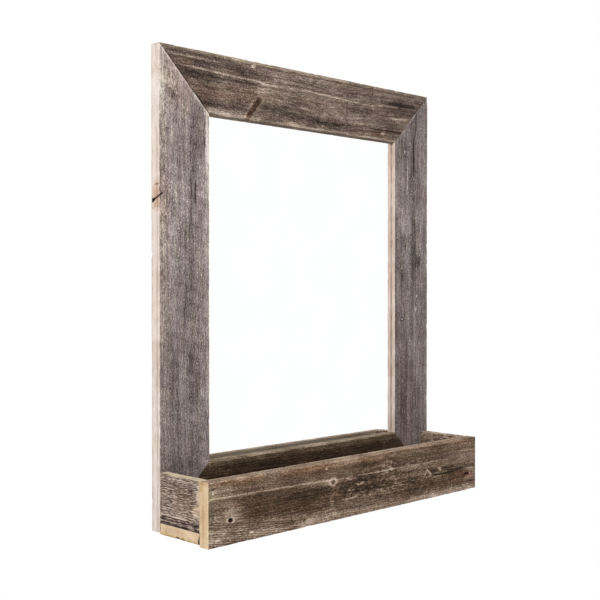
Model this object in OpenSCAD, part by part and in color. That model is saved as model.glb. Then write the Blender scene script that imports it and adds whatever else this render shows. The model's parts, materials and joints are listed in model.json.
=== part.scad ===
// Wall mirror in a mitred frame of weathered boards, with an open box across its foot as the shelf.
// Each piece is drawn from the frame's lower left front corner: X right, Y back to the wall, Z up.
// place() then puts the origin on the wall, on the centre line, at the height of the wall hooks.

/* [Frame] */
// Width of the frame over its stiles
frame_w = 590; // [440:5:760]
// Height of the frame over its rails
frame_h = 677; // [500:1:860]
// Width of a frame board
board_w = 89; // [76:1:110]
// Thickness of a frame board
board_t = 19; // [15:0.5:22]
// Thickness of the lip in front of the mirror
lip_t = 8.5; // [6:0.5:9]
// Width of the rabbet behind the lip
rabbet_w = 9.5; // [8:0.5:14]

/* [Mitre nails] */
// Distance of the outer V-nail from both outer edges of its corner
vnail_outer = 22; // [16:1:30]
// Distance of the inner V-nail from both outer edges of its corner
vnail_inner = 52; // [44:1:56]
// Length of a V-nail's leg
vnail_leg = 8; // [6:0.5:10]
// Depth of a V-nail, from its back edge to its front edge
vnail_depth = 10; // [7:1:12]
// Thickness of a V-nail's steel
vnail_t = 0.5; // [0.3:0.1:0.8]
// Depth to which a V-nail is driven below the back of the frame
vnail_sunk = 0.3; // [0:0.1:1]

/* [Mirror and back] */
// Thickness of the mirror glass
pane_t = 3; // [2:0.5:4]
// Gap between the glass and the rabbet, on each side
pane_gap = 1.5; // [1:0.5:3]
// Thickness of the hardboard back
hardboard_t = 2.5; // [2:0.5:3.5]
// Number of glazing points along each stile
stile_points = 3; // [2:1:5]
// Number of glazing points along each rail
rail_points = 2; // [2:1:4]
// Length of a glazing point in the wood
point_in = 6; // [4:0.5:9]
// Length of a glazing point over the hardboard
point_out = 7; // [4:0.5:9]
// Width of a glazing point
point_w = 7; // [5:0.5:9]
// Thickness of a glazing point
point_t = 0.4; // [0.3:0.1:0.6]

/* [Hangers] */
// Width of a hanger's strap
strap_w = 16; // [12:0.5:17]
// Length of a strap below its ring's bar
strap_l = 38; // [35:0.5:50]
// Thickness of the strip, which lies double in the strap
strip_t = 1; // [0.8:0.1:1.2]
// Thickness of a ring's wire
wire_d = 3; // [2.6:0.1:3.2]
// Radius of a ring's bow, to the middle of its wire
bow_r = 12; // [11.5:0.5:14]
// Radius of the bends beside a ring's bar, to the middle of the wire
bend_r = 3; // [2:0.25:3.25]
// Distance of the upper hanger screw from the ring's bar
upper_screw = 7.5; // [6.5:0.25:8]
// Distance of the lower hanger screw from the ring's bar
lower_screw = 28; // [24:0.5:30]
// Length of a hanger screw under its head
strap_screw_l = 14; // [10:1:15]
// Thickness of a hanger screw's shank
strap_screw_d = 3.2; // [2.8:0.1:3.8]
// Width of a hanger screw's head
strap_head_d = 6.6; // [5.6:0.2:7]
// Height of a hanger screw's head
strap_head_h = 1.9; // [1.4:0.1:2.2]

/* [Bumpers] */
// Width of a bumper at its foot
bumper_d = 12; // [8:0.5:14]
// Height of a bumper, which is the frame's distance from the wall
bumper_h = 6; // [5.5:0.5:10]
// Distance of the lower bumpers from the frame's sides
bumper_in = 24; // [20:1:30]
// Height of the lower bumpers above the frame's bottom
bumper_up = 45; // [42:1:60]

/* [Shelf box] */
// Height of the box, which is the width of its front board
box_h = 88; // [74:0.5:130]
// Depth of the box behind its front board
box_d = 86; // [75:1:140]
// Distance from the frame's bottom down to the box's bottom
box_drop = 4.5; // [0:0.5:5]
// Height of the bottom board above the front board's lower edge
bottom_up = 2.5; // [0:0.5:3]
// Thickness of the front board
front_t = 19; // [16:0.5:22]
// Thickness of the bottom board
bottom_t = 16; // [14:0.5:20]
// Thickness of the left end board
left_t = 16; // [14:0.5:22]
// Thickness of the right end board
right_t = 19; // [17.5:0.5:22]

/* [Box fasteners] */
// Length of a box screw
box_screw_l = 45; // [35:1:50]
// Thickness of a box screw's shank
box_screw_d = 4; // [3:0.1:4.5]
// Width of a box screw's countersunk head
box_head_d = 8; // [6:0.2:8]
// Height of a box screw's countersunk head
box_head_h = 2.5; // [2:0.1:3]
// Height of the lower end screws above the box's floor
end_screw_up = 28; // [25:1:30]
// Distance of the upper end screws below the box's top
end_screw_down = 13; // [8:1:14]
// Number of screws along the bottom rail
rail_screws = 4; // [2:1:6]
// Distance of the first rail screw from the frame's side
rail_screw_in = 75; // [50:1:100]
// Length of a brad
brad_l = 32; // [28:1:35]
// Thickness of a brad
brad_d = 1.6; // [1.2:0.1:2]
// Width of a brad's head
brad_head_d = 2.4; // [2.2:0.1:3]
// Height of a brad's head
brad_head_h = 1; // [0.6:0.1:1.4]
// Depth to which nails and brads are driven below the wood
nail_sunk = 0.8; // [0.4:0.1:1.5]
// Height of the lower end brads above the box's floor
end_brad_up = 22; // [20:0.5:24]
// Distance of the upper end brads below the box's top
end_brad_down = 10; // [6:1:14]
// Number of brads along the front board's lower edge
edge_brads = 5; // [3:1:8]
// Distance of the first edge brad from the box's end
edge_brad_in = 60; // [50:1:80]
// Distance of the bottom brads from the front and back of an end board
bottom_brad_in = 22; // [16:1:26]
// Length of the wire nail
nail_l = 45; // [35:1:55]
// Thickness of the wire nail
nail_d = 2.5; // [2:0.1:2.8]
// Width of the wire nail's head
nail_head_d = 5; // [4:0.2:5.6]
// Height of the wire nail's head
nail_head_h = 1.2; // [0.8:0.1:1.6]
// Distance of the wire nail from the box's right end
nail_in = 15.5; // [15:0.5:16]
// Height of the wire nail above the box's bottom
nail_up = 28; // [24:0.5:32]

/* [Old nail hole] */
// Width of the hole
hole_d = 4.6; // [3:0.2:6]
// Depth of the hole
hole_depth = 12; // [6:1:15]
// Distance of the hole from the box's left end
hole_in = 38.5; // [30:0.5:50]
// Height of the hole above the box's bottom
hole_up = 33.5; // [25:0.5:60]

/* [Clearances] */
// Gap between a nail or screw and its hole
snug = 0.05; // [0.02:0.01:0.1]
// Gap between a ring's bar and the loop that it turns in
bar_gap = 0.08; // [0.03:0.01:0.1]
// Gap between a ring's bow and the frame, where it lies against it
bow_gap = 0.3; // [0.2:0.05:0.5]
// Gap between a hanger screw and the strap's hole
strap_gap = 0.4; // [0.2:0.1:0.5]

/* [Hidden] */
$fn = 64;
// Overshoot of a cut past the face it starts from
over = 1;
back_w = board_w - rabbet_w;
hook_h = frame_h - board_w / 2;
hanger_x = [back_w / 2, frame_w - back_w / 2];
loop_r = wire_d / 2 + bar_gap;
loop_outer_r = loop_r + strip_t;
bar_y = board_t + loop_outer_r;
bar_z = hook_h - (bend_r + bow_r - wire_d / 2);
ring_lean = asin((loop_outer_r - wire_d / 2 - bow_gap) / (bend_r + bow_r));
pane_y = lip_t;
hardboard_y = pane_y + pane_t;
point_y = hardboard_y + hardboard_t;
point_taper = point_in / 2;
box_z = -box_drop;
bottom_z = box_z + bottom_up;
floor_z = bottom_z + bottom_t;
box_top = box_z + box_h;
bottom_mid = bottom_z + bottom_t / 2;
end_mid = [left_t / 2, frame_w - right_t / 2];
bumper_at = [[frame_w / 2, hook_h], [bumper_in, bumper_up], [frame_w - bumper_in, bumper_up]];

// Moves a drawn piece so that the origin lies on the wall between the hooks
module place() translate([-frame_w / 2, -board_t - bumper_h, -hook_h]) children();

// A flat outline in the frame's plane, thickened from y0 back to y1
module slab(outline, y0, y1)
    translate([0, y1, 0]) rotate([90, 0, 0]) linear_extrude(y1 - y0) polygon(outline);

// A round bar along Y, from y0 back to y1
module bar(d, y0, y1) translate([0, y0, 0]) rotate([-90, 0, 0]) cylinder(d = d, h = y1 - y0);

// A cone along Y, d0 wide at y0 and d1 wide at y1
module taper(d0, d1, y0, y1)
    translate([0, y0, 0]) rotate([-90, 0, 0]) cylinder(d1 = d0, d2 = d1, h = y1 - y0);

// Even places for n pieces, the first and last at margin from the ends of a length
function spread(n, length, margin) =
    [for (i = [0:n - 1]) margin + i * (length - 2 * margin) / (n - 1)];

// Even places for n pieces, each in the middle of its share of the span from a to b
function shares(n, a, b) = [for (i = [0:n - 1]) a + (i + 0.5) * (b - a) / n];

// ---- frame ----

function mitred(length, width) =
    [[0, 0], [length, 0], [length - width, width], [width, width]];

// A frame board along X with its outer edge on Z = 0: the full front lip, and the narrower back
module plain_board(length) {
    slab(mitred(length, board_w), 0, lip_t);
    slab(mitred(length, back_w), lip_t, board_t);
}

// The frame board less the holes of everything that is driven into it
module frame_board() {
    difference() {
        children();
        v_nails(snug);
        points(snug);
        strap_screw_holes();
        box_screw_holes();
    }
}

module stile_left()
    color([0.56, 0.52, 0.50]) place() frame_board()
        translate([0, 0, frame_h]) rotate([0, 90, 0]) plain_board(frame_h);

module stile_right()
    color([0.50, 0.46, 0.45]) place() frame_board()
        translate([frame_w, 0, 0]) rotate([0, -90, 0]) plain_board(frame_h);

module rail_top()
    color([0.46, 0.40, 0.37]) place() frame_board()
        translate([frame_w, 0, frame_h]) rotate([0, 180, 0]) plain_board(frame_w);

module rail_bottom()
    color([0.50, 0.44, 0.38]) place() frame_board() plain_board(frame_w);

// One V-nail with its corner on the origin, its legs along X and Z
module v_nail(grow) {
    half = vnail_t / 2 + grow;
    y0 = board_t - vnail_depth - grow;
    y1 = board_t - vnail_sunk + (grow > 0 ? vnail_sunk + over : 0);
    slab([[-half, -half], [vnail_leg + grow, -half], [vnail_leg + grow, half],
          [half, half], [half, vnail_leg + grow], [-half, vnail_leg + grow]], y0, y1);
}

// The V-nails of all four corners, grown by a gap on every side when they cut their slots
module v_nails(grow) {
    for (side = [0, 1], end = [0, 1], at = [vnail_outer, vnail_inner])
        translate([side * frame_w, 0, end * frame_h])
            mirror([side, 0, 0]) mirror([0, 0, end])
                translate([at, 0, at]) v_nail(grow);
}

module mitre_v_nails() color([0.62, 0.63, 0.65]) place() v_nails(0);

// ---- mirror and its back ----

// A sheet that fills the rabbet less the gap around it
module rabbet_sheet(y0, y1) {
    in = back_w + pane_gap;
    translate([in, y0, in]) cube([frame_w - 2 * in, y1 - y0, frame_h - 2 * in]);
}

module mirror_pane() color([0.85, 0.88, 0.89]) place() rabbet_sheet(pane_y, hardboard_y);

module hardboard_back() color([0.45, 0.31, 0.20]) place() rabbet_sheet(hardboard_y, point_y);

// One glazing point: its tip lies in the wood along +X, its tail over the hardboard
module point(grow) {
    half = point_w / 2 + grow;
    slab([[-point_out, -half], [point_in - point_taper, -half], [point_in + grow, 0],
          [point_in - point_taper, half], [-point_out, half]],
         point_y - grow, point_y + point_t + grow);
}

module points(grow) {
    for (z = shares(stile_points, board_w, frame_h - board_w)) {
        translate([back_w, 0, z]) rotate([0, 180, 0]) point(grow);
        translate([frame_w - back_w, 0, z]) point(grow);
    }
    for (x = shares(rail_points, board_w, frame_w - board_w)) {
        translate([x, 0, back_w]) rotate([0, 90, 0]) point(grow);
        translate([x, 0, frame_h - back_w]) rotate([0, -90, 0]) point(grow);
    }
}

module glazing_points() color([0.60, 0.62, 0.64]) place() points(0);

// ---- hangers ----

// The strip folded round the ring's bar: the loop on the origin's axis, the double strap below it
module strap() {
    end_r = strap_w / 2;
    difference() {
        union() {
            translate([-end_r, 0, 0]) rotate([0, 90, 0]) cylinder(r = loop_outer_r, h = strap_w);
            translate([-end_r, -loop_outer_r, end_r - strap_l])
                cube([strap_w, 2 * strip_t, strap_l - end_r]);
            translate([0, 0, end_r - strap_l])
                bar(strap_w, -loop_outer_r, 2 * strip_t - loop_outer_r);
        }
        translate([-end_r - over, 0, 0]) rotate([0, 90, 0])
            cylinder(r = loop_r, h = strap_w + 2 * over);
        for (down = [upper_screw, lower_screw])
            translate([0, 0, -down])
                bar(strap_screw_d + 2 * strap_gap, -loop_outer_r - over, loop_outer_r + over);
    }
}

// The D-ring with its bar on the origin's X axis and its bow upwards, in one round of wire
module ring() {
    flat = bow_r - bend_r;
    translate([-flat, 0, 0]) rotate([0, 90, 0]) cylinder(d = wire_d, h = 2 * flat);
    for (side = [0, 1])
        mirror([side, 0, 0]) translate([flat, 0, bend_r]) rotate([90, 0, 0]) rotate(-90)
            rotate_extrude(angle = 90) translate([bend_r, 0]) circle(d = wire_d);
    translate([0, 0, bend_r]) rotate([90, 0, 0])
        rotate_extrude(angle = 180) translate([bow_r, 0]) circle(d = wire_d);
}

module hanger_strap_left()
    color([0.70, 0.71, 0.72]) place() translate([hanger_x[0], bar_y, bar_z]) strap();

module hanger_strap_right()
    color([0.70, 0.71, 0.72]) place() translate([hanger_x[1], bar_y, bar_z]) strap();

module hanger_ring_left()
    color([0.76, 0.77, 0.78]) place() translate([hanger_x[0], bar_y, bar_z])
        rotate([ring_lean, 0, 0]) ring();

module hanger_ring_right()
    color([0.76, 0.77, 0.78]) place() translate([hanger_x[1], bar_y, bar_z])
        rotate([ring_lean, 0, 0]) ring();

// Puts a child at each hanger screw, on the frame's back
module at_strap_screws()
    for (x = hanger_x, down = [upper_screw, lower_screw])
        translate([x, board_t, bar_z - down]) children();

// The cross recess of a screw head whose top lies at y
module cross_recess(width, y) {
    slot = width / 5;
    depth = width / 5;
    for (turn = [0, 90])
        rotate([0, turn, 0]) translate([-width / 2, y - depth, -slot / 2])
            cube([width, depth + over, slot]);
}

module strap_screw() {
    head_y = 2 * strip_t;
    difference() {
        union() {
            bar(strap_screw_d, head_y - strap_screw_l, head_y);
            taper(strap_head_d, strap_head_d * 0.7, head_y, head_y + strap_head_h);
        }
        cross_recess(strap_head_d * 0.6, head_y + strap_head_h);
    }
}

module hanger_screws() color([0.66, 0.66, 0.62]) place() at_strap_screws() strap_screw();

module strap_screw_holes()
    at_strap_screws() bar(strap_screw_d + 2 * snug, 2 * strip_t - strap_screw_l - snug, over);

// ---- bumpers ----

module wall_bumpers()
    color([0.20, 0.20, 0.20]) place()
        for (at = bumper_at)
            translate([at[0], board_t, at[1]]) taper(bumper_d, bumper_d * 0.85, 0, bumper_h);

// ---- shelf box ----

module box_front_board()
    color([0.40, 0.33, 0.27]) place() difference() {
        translate([0, -box_d - front_t, box_z]) cube([frame_w, front_t, box_h]);
        brad_holes();
        wire_nail_hole();
        translate([hole_in, -box_d - front_t, box_z + hole_up]) bar(hole_d, -over, hole_depth);
    }

// An end board from x0 to x1, standing on the bottom board between the front board and the frame
module end_board(x0, x1)
    difference() {
        translate([x0, -box_d, floor_z]) cube([x1 - x0, box_d, box_top - floor_z]);
        brad_holes();
        wire_nail_hole();
        box_screw_holes();
    }

module box_end_left() color([0.54, 0.47, 0.42]) place() end_board(0, left_t);

module box_end_right() color([0.45, 0.38, 0.33]) place() end_board(frame_w - right_t, frame_w);

module box_bottom_board()
    color([0.52, 0.44, 0.35]) place() difference() {
        translate([0, -box_d, bottom_z]) cube([frame_w, box_d, bottom_t]);
        brad_holes();
        box_screw_holes();
    }

// ---- nails and screws of the box ----

// A nail along +Y, its head's face at sunk below the origin; grown, it is its own hole
module nail(length, d, head_d, head_h, grow) {
    bar(d + 2 * grow, nail_sunk, nail_sunk + length + grow);
    bar(head_d + 2 * grow, grow > 0 ? -over : nail_sunk, nail_sunk + head_h + grow);
}

module brad(grow) nail(brad_l, brad_d, brad_head_d, brad_head_h, grow);

// Places of the brads on the front board's face, as x and z
front_brad_at = concat(
    [for (x = end_mid, z = [floor_z + end_brad_up, box_top - end_brad_down]) [x, z]],
    [for (x = spread(edge_brads, frame_w, edge_brad_in)) [x, bottom_mid]]
);

module brads_in_front(grow)
    for (at = front_brad_at)
        translate([at[0], -box_d - front_t, at[1]]) brad(grow);

module brads_in_bottom(grow)
    for (x = end_mid, y = [-bottom_brad_in, bottom_brad_in - box_d])
        translate([x, y, bottom_z]) rotate([90, 0, 0]) brad(grow);

module brad_holes() {
    brads_in_front(snug);
    brads_in_bottom(snug);
}

module front_brads() color([0.45, 0.43, 0.40]) place() brads_in_front(0);

module bottom_brads() color([0.45, 0.43, 0.40]) place() brads_in_bottom(0);

module wire_nail(grow)
    translate([frame_w - nail_in, -box_d - front_t, box_z + nail_up])
        nail(nail_l, nail_d, nail_head_d, nail_head_h, grow);

module wire_nail_hole() wire_nail(snug);

module front_wire_nail() color([0.70, 0.70, 0.70]) place() wire_nail(0);

// Places of the box screws on the frame's back, as x and z
box_screw_at = concat(
    [for (x = end_mid, z = [floor_z + end_screw_up, box_top - end_screw_down]) [x, z]],
    [for (x = spread(rail_screws, frame_w, rail_screw_in)) [x, bottom_mid]]
);

// A countersunk screw whose head is flush with the frame's back; grown, it is its own hole
module box_screw(grow) {
    head_y = board_t - box_head_h;
    past = grow > 0 ? over : 0;
    flare = (box_head_d - box_screw_d) / box_head_h;
    bar(box_screw_d + 2 * grow, board_t - box_screw_l - grow, head_y);
    taper(box_screw_d + 2 * grow, box_head_d + flare * past + 2 * grow, head_y, board_t + past);
}

module box_screw_holes()
    for (at = box_screw_at) translate([at[0], 0, at[1]]) box_screw(snug);

module box_screws()
    color([0.72, 0.62, 0.36]) place()
        for (at = box_screw_at)
            translate([at[0], 0, at[1]]) difference() {
                box_screw(0);
                cross_recess(box_head_d * 0.6, board_t);
            }

stile_left();
stile_right();
rail_top();
rail_bottom();
mitre_v_nails();
mirror_pane();
hardboard_back();
glazing_points();
hanger_strap_left();
hanger_strap_right();
hanger_ring_left();
hanger_ring_right();
hanger_screws();
wall_bumpers();
box_front_board();
box_end_left();
box_end_right();
box_bottom_board();
front_wire_nail();
front_brads();
bottom_brads();
box_screws();
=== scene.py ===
import json
import math

import bmesh
import bpy
import numpy as np
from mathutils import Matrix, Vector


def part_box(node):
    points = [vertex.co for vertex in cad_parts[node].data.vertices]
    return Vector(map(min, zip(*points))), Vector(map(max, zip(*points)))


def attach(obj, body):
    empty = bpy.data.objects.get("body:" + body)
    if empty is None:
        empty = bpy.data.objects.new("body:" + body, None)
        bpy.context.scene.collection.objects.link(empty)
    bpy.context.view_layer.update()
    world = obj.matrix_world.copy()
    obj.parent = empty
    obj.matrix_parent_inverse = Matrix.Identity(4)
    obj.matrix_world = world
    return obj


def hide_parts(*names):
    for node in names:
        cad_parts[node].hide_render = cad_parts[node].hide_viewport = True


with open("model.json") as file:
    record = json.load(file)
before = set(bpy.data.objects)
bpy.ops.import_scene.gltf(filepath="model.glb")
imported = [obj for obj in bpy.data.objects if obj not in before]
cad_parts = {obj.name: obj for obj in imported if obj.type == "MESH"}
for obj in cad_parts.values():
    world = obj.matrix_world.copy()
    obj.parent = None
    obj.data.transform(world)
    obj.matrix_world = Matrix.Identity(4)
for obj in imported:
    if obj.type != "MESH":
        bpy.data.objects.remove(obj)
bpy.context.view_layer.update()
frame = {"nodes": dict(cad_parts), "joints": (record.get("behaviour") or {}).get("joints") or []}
print("frame loaded,", len(frame["nodes"]), "nodes")

mm = 0.001  # the sizes below are in millimetres, the scene is in metres


# Lattice value: a fixed number from -1 to 1 for every whole-number point, mixed from the bits of its indices
def latticeValue(i, j, k, seed):
    h = (i * 374761393 + j * 668265263 + k * 1440662683 + seed * 974634777) & 0xFFFFFFFF
    h = ((h ^ (h >> 13)) * 1274126177) & 0xFFFFFFFF
    h = ((h ^ (h >> 16)) * 2246822519) & 0xFFFFFFFF
    return ((h ^ (h >> 15)) & 0xFFFF) / 32767.5 - 1


# Smooth noise: the eight lattice values round a point, blended by u*u*(3-2u) along each axis
def smoothNoise(x, y, z, seed):
    x, y, z = np.broadcast_arrays(*(np.asarray(v, float) for v in (x, y, z)))
    cell = [np.floor(v).astype(np.int64) for v in (x, y, z)]
    part = [v - c for v, c in zip((x, y, z), cell)]
    part = [u * u * (3 - 2 * u) for u in part]
    total = np.zeros(x.shape)
    for a in (0, 1):
        for b in (0, 1):
            for c in (0, 1):
                share = (part[0] if a else 1 - part[0]) * (part[1] if b else 1 - part[1])
                share = share * (part[2] if c else 1 - part[2])
                total += share * latticeValue(cell[0] + a, cell[1] + b, cell[2] + c, seed)
    return total


# Cloud: smooth noise summed over octaves, each twice as fine and half as strong as the one before
def cloud(x, y, z, seed, octaves=3):
    total, share = 0, 1
    for n in range(octaves):
        total = total + share * smoothNoise(x * 2 ** n, y * 2 ** n, z * 2 ** n, seed + 31 * n)
        share /= 2
    return total / (2 - 2 * share)


# Smooth step: 0 below low, 1 above high, and the cubic 3u^2 - 2u^3 in between
def smoothStep(low, high, value):
    u = np.clip((value - low) / (high - low), 0, 1)
    return u * u * (3 - 2 * u)


# Bell: exp(-(distance / half)^2), which is 1 on the line and fades over the half width
def bell(distance, half):
    return np.exp(-(distance / half) ** 2)


# Fills a mesh from points in millimetres and arrays of faces, each array with one number of corners
def newMesh(name, points, faceSets, smooth=True):
    mesh = bpy.data.meshes.new(name)
    mesh.vertices.add(len(points))
    mesh.vertices.foreach_set("co", (points * mm).astype(np.float32).ravel())
    corners = np.concatenate([f.ravel() for f in faceSets]).astype(np.int32)
    counts = np.concatenate([np.full(len(f), f.shape[1]) for f in faceSets])
    mesh.loops.add(len(corners))
    mesh.loops.foreach_set("vertex_index", corners)
    mesh.polygons.add(len(counts))
    mesh.polygons.foreach_set("loop_start", (np.cumsum(counts) - counts).astype(np.int32))
    mesh.polygons.foreach_set("use_smooth", np.full(len(counts), smooth))
    mesh.update(calc_edges=True)
    mesh.validate()
    return newObject(name, mesh)


# Puts a mesh, lamp or camera into the scene
def newObject(name, data):
    made = bpy.data.objects.new(name, data)
    bpy.context.scene.collection.objects.link(made)
    return made


# Gives a finished piece its material, hides the CAD node that it replaces, and puts it on its body
def dress(piece, finish, node, body):
    piece.data.materials.append(finish)
    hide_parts(node)
    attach(piece, body)


# Stores a value or a place for each point of a piece, for its material to read
def addAttribute(piece, name, values):
    kind, field = ("FLOAT_VECTOR", "vector") if values.ndim == 2 else ("FLOAT", "value")
    attribute = piece.data.attributes.new(name, kind, "POINT")
    attribute.data.foreach_set(field, values.astype(np.float32).ravel())


# Quads between neighbouring rows and columns of a grid of point numbers
def gridQuads(numbers):
    a, b, c, d = numbers[:-1, :-1], numbers[1:, :-1], numbers[1:, 1:], numbers[:-1, 1:]
    return np.stack([a, b, c, d], -1).reshape(-1, 4)


# Steps: even places from 0 to length, with closer ones at both ends and around each fine place, which is
# given with its half width
def steps(length, step, fine=()):
    ease = np.array([0.3, 0.7, 1.2, 1.9])
    fineStep = 0.4
    closest = 0.55 * fineStep
    places = [np.linspace(0, length, round(length / step) + 1), ease, length - ease]
    places += [np.arange(at - half, at + half + fineStep, fineStep) for at, half in fine]
    places = np.unique(np.concatenate(places))
    places = places[(places >= 0) & (places <= length)]
    keep = [0]
    for n in range(1, len(places) - 1):
        if places[n] - places[keep[-1]] > closest and length - places[n] > closest:
            keep.append(n)
    return np.append(places[keep], length)


# Outline: the board's section as a loop of points (across, depth), side by side from the outer front corner,
# with the outward direction at each point, its side, and its distance and direction from the nearest corner
def outline(corners, sideSteps):
    points, outward, side, ease, away = [], [], [], [], []
    count = len(corners)
    for n in range(count):
        a, b = np.array(corners[n], float), np.array(corners[(n + 1) % count], float)
        length = np.linalg.norm(b - a)
        along = (b - a) / length
        face = np.array([along[1], -along[0]])
        place = sideSteps[n][:-1]
        points.append(a + np.outer(place, along))
        direction = np.tile(face, (len(place), 1))
        previous = (a - np.array(corners[n - 1], float))
        previous /= np.linalg.norm(previous)
        direction[0] = face + np.array([previous[1], -previous[0]])
        direction[0] /= np.linalg.norm(direction[0])
        outward.append(direction)
        side.append(np.full(len(place), n))
        ease.append(np.minimum(place, length - place))
        away.append(np.outer(np.where(place < length - place, 1, -1), along))
    return [np.concatenate(v) for v in (points, outward, side, ease, away)]


# Rounded arris: a point at distance c from a corner of radius r goes onto the arc. It sinks by
# r - r sin(angle) and moves away from the corner by r - r cos(angle) - c, where the angle runs from 45 to 90
# degrees. A point on the corner itself, which moves along the diagonal, sinks by r (sqrt 2 - 1)
def roundedArris(c, r, diagonal=True):
    angle = math.pi / 4 * (1 + np.clip(c / r, 0, 1))
    sink = r - r * np.sin(angle)
    shift = np.where(c < r, r - r * np.cos(angle) - c, 0)
    corner = (c < 1e-6) & diagonal
    return np.where(corner, r * (math.sqrt(2) - 1), sink), np.where(corner, 0, shift)


# Branch knot: where its axis meets the board, its radius, how much longer it is along the board than across,
# and how much its core and the halo round it differ in tone
def branchKnot(s, t, d, r, axis=(0, 0, 1), stretch=1.3, core=-0.3, halo=0.1):
    return dict(at=(s, t, d), r=r, axis=axis, stretch=stretch, core=core, halo=halo)


# Spot: an ellipse, or a bar, that reaches so far along and across from its middle. Its tone is the strength
# of what it adds, and its edge is as rough and as soft as the last two say
def spot(s, t, along, across, tone, side="front", turn=0, bar=False, rough=0.35, soft=0.45):
    return dict(at=(s, t), size=(along, across), tone=tone, side=side, turn=turn, bar=bar, rough=rough,
                soft=soft)


# Grain line: a line of some half width and tone through points, which wavers, is broken and fades at its ends
def grainLine(half, tone, *points, side="front", waver=0.5, broken=0.5, fade=14):
    return dict(half=half, tone=tone, points=points, side=side, waver=waver, broken=broken, fade=fade)


# Knot field: distance from the knot's axis in radii, measured shorter along the board by the knot's stretch,
# and the push that bends the grain round it: offset times 1 - q^2 / (q^2 + spread * bell(q, reach))
def knotField(knot, s, t, d):
    spread, reach = 0.8, 3.2
    axis = np.array(knot["axis"], float)
    axis /= np.linalg.norm(axis)
    off = np.stack([s - knot["at"][0], t - knot["at"][1], d - knot["at"][2]], -1)
    off = off - (off @ axis)[..., None] * axis
    along, across, deep = off[..., 0], off[..., 1], off[..., 2]
    q = np.sqrt((along / knot["stretch"]) ** 2 + across ** 2 + deep ** 2) / knot["r"]
    push = 1 - q ** 2 / (q ** 2 + spread * bell(q, reach) + 1e-9)
    return q, across * push, deep * push


# Wood: everything that follows the grain at rest place (along, across, depth), all in millimetres.
# A ring is a distance from the tree's pith, which wanders slowly, divided by the ring's width
def woodField(look, s, t, d):
    seed = look["seed"]
    knotRingWide = 1.4
    acrossGrain, depthGrain = t.copy(), d.copy()
    knotty, knotRing, knotShade = np.zeros(s.shape), np.zeros(s.shape), np.zeros(s.shape)
    for knot in look["knots"]:
        q, pushT, pushD = knotField(knot, s, t, d)
        acrossGrain -= pushT
        depthGrain -= pushD
        inside = 1 - smoothStep(0.75, 1.2, q + 0.2 * smoothNoise(s / 1.6, t / 1.6, d / 1.6, seed + 9))
        knotty = np.maximum(knotty, inside)
        knotShade += knot["core"] * inside + knot["halo"] * bell(q - 1.5, 0.5)
        knotRing = np.where(inside > 0.02, q * knot["r"] / knotRingWide, knotRing)
    acrossGrain = acrossGrain + look["wander"] * cloud(s / 170, t / 90, 0, seed + 1, 2) + look["slope"] * s
    acrossGrain = acrossGrain + 0.5 * cloud(s / 28, t / 14, d / 14, seed + 2, 2)
    pithT, pithD = look["pith"]
    radius = np.hypot(acrossGrain - pithT, depthGrain - pithD)
    uneven = 0.9 * cloud(radius / 9, 0, s / 900, seed + 3, 2)
    rings = radius / look["ringWidth"] + uneven
    rings = np.where(knotty > 0.3, knotRing, rings)
    return acrossGrain, depthGrain, rings, knotty, knotShade


# Ridge: weathering eats the soft wood behind each ring's hard edge. Depth is 0 on the edge, falls quickly
# to 1 after it and rises slowly back: sin(pi * phase^0.6)
def ridgeDepth(rings):
    phase = rings - np.floor(rings)
    return np.sin(math.pi * phase ** 0.6)


# Streaks: the sum of all grain lines, each a bell round its own points that fades at both ends and is broken
# by noise
def streakField(items, places, seed):
    total = 0
    for n, item in enumerate(items):
        s, t, mask = places[item["side"]]
        pointS, pointT = np.array(item["points"], float).T
        middle = np.interp(s, pointS, pointT) + item["waver"] * cloud(s / 22, 0, n, seed + 40, 2)
        fade = item["fade"]
        ends = smoothStep(pointS[0] - fade / 2, pointS[0] + fade / 2, s)
        ends = ends * (1 - smoothStep(pointS[-1] - fade / 2, pointS[-1] + fade / 2, s))
        broken = 1 - item["broken"] * (0.5 + 0.6 * cloud(s / 9, t / 2.5, n, seed + 41, 3))
        total = total + item["tone"] * bell(t - middle, item["half"]) * ends * broken * mask
    return total


# Patches: the sum of all spots, each turned by its own angle, with edges that follow noise
def patchField(items, places, seed):
    total = 0
    for n, item in enumerate(items):
        s, t, mask = places[item["side"]]
        turn = math.radians(item["turn"])
        ds, dt = s - item["at"][0], t - item["at"][1]
        u = (ds * math.cos(turn) + dt * math.sin(turn)) / item["size"][0]
        v = (dt * math.cos(turn) - ds * math.sin(turn)) / item["size"][1]
        reach = np.maximum(np.abs(u), np.abs(v)) if item["bar"] else np.hypot(u, v)
        reach = reach + item["rough"] * cloud(s / 9, t / 3, n, seed + 50, 3)
        fade = smoothStep(1 - item["soft"], 1 + item["soft"], reach)
        total = total + item["tone"] * (1 - fade) * mask
    return total


# Check: a crack along the grain between two places on the face, a V that tapers out at both ends
def checkDepth(item, s, t, seed):
    (s0, t0), (s1, t1) = item["ends"]
    u = np.clip((s - s0) / (s1 - s0), 0, 1)
    middle = t0 + (t1 - t0) * u + 0.5 * cloud(s / 11, 0, 0, seed + 60, 2)
    inside = np.minimum(np.abs(s - s0), np.abs(s1 - s)) * np.where((s - s0) * (s - s1) < 0, 1, -1)
    taper = smoothStep(0, 0.35 * abs(s1 - s0), inside) ** 0.7
    half = item["width"] / 2 * taper + 1e-6
    return item["depth"] * taper * np.clip(1 - np.abs(t - middle) / half, 0, 1)


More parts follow.
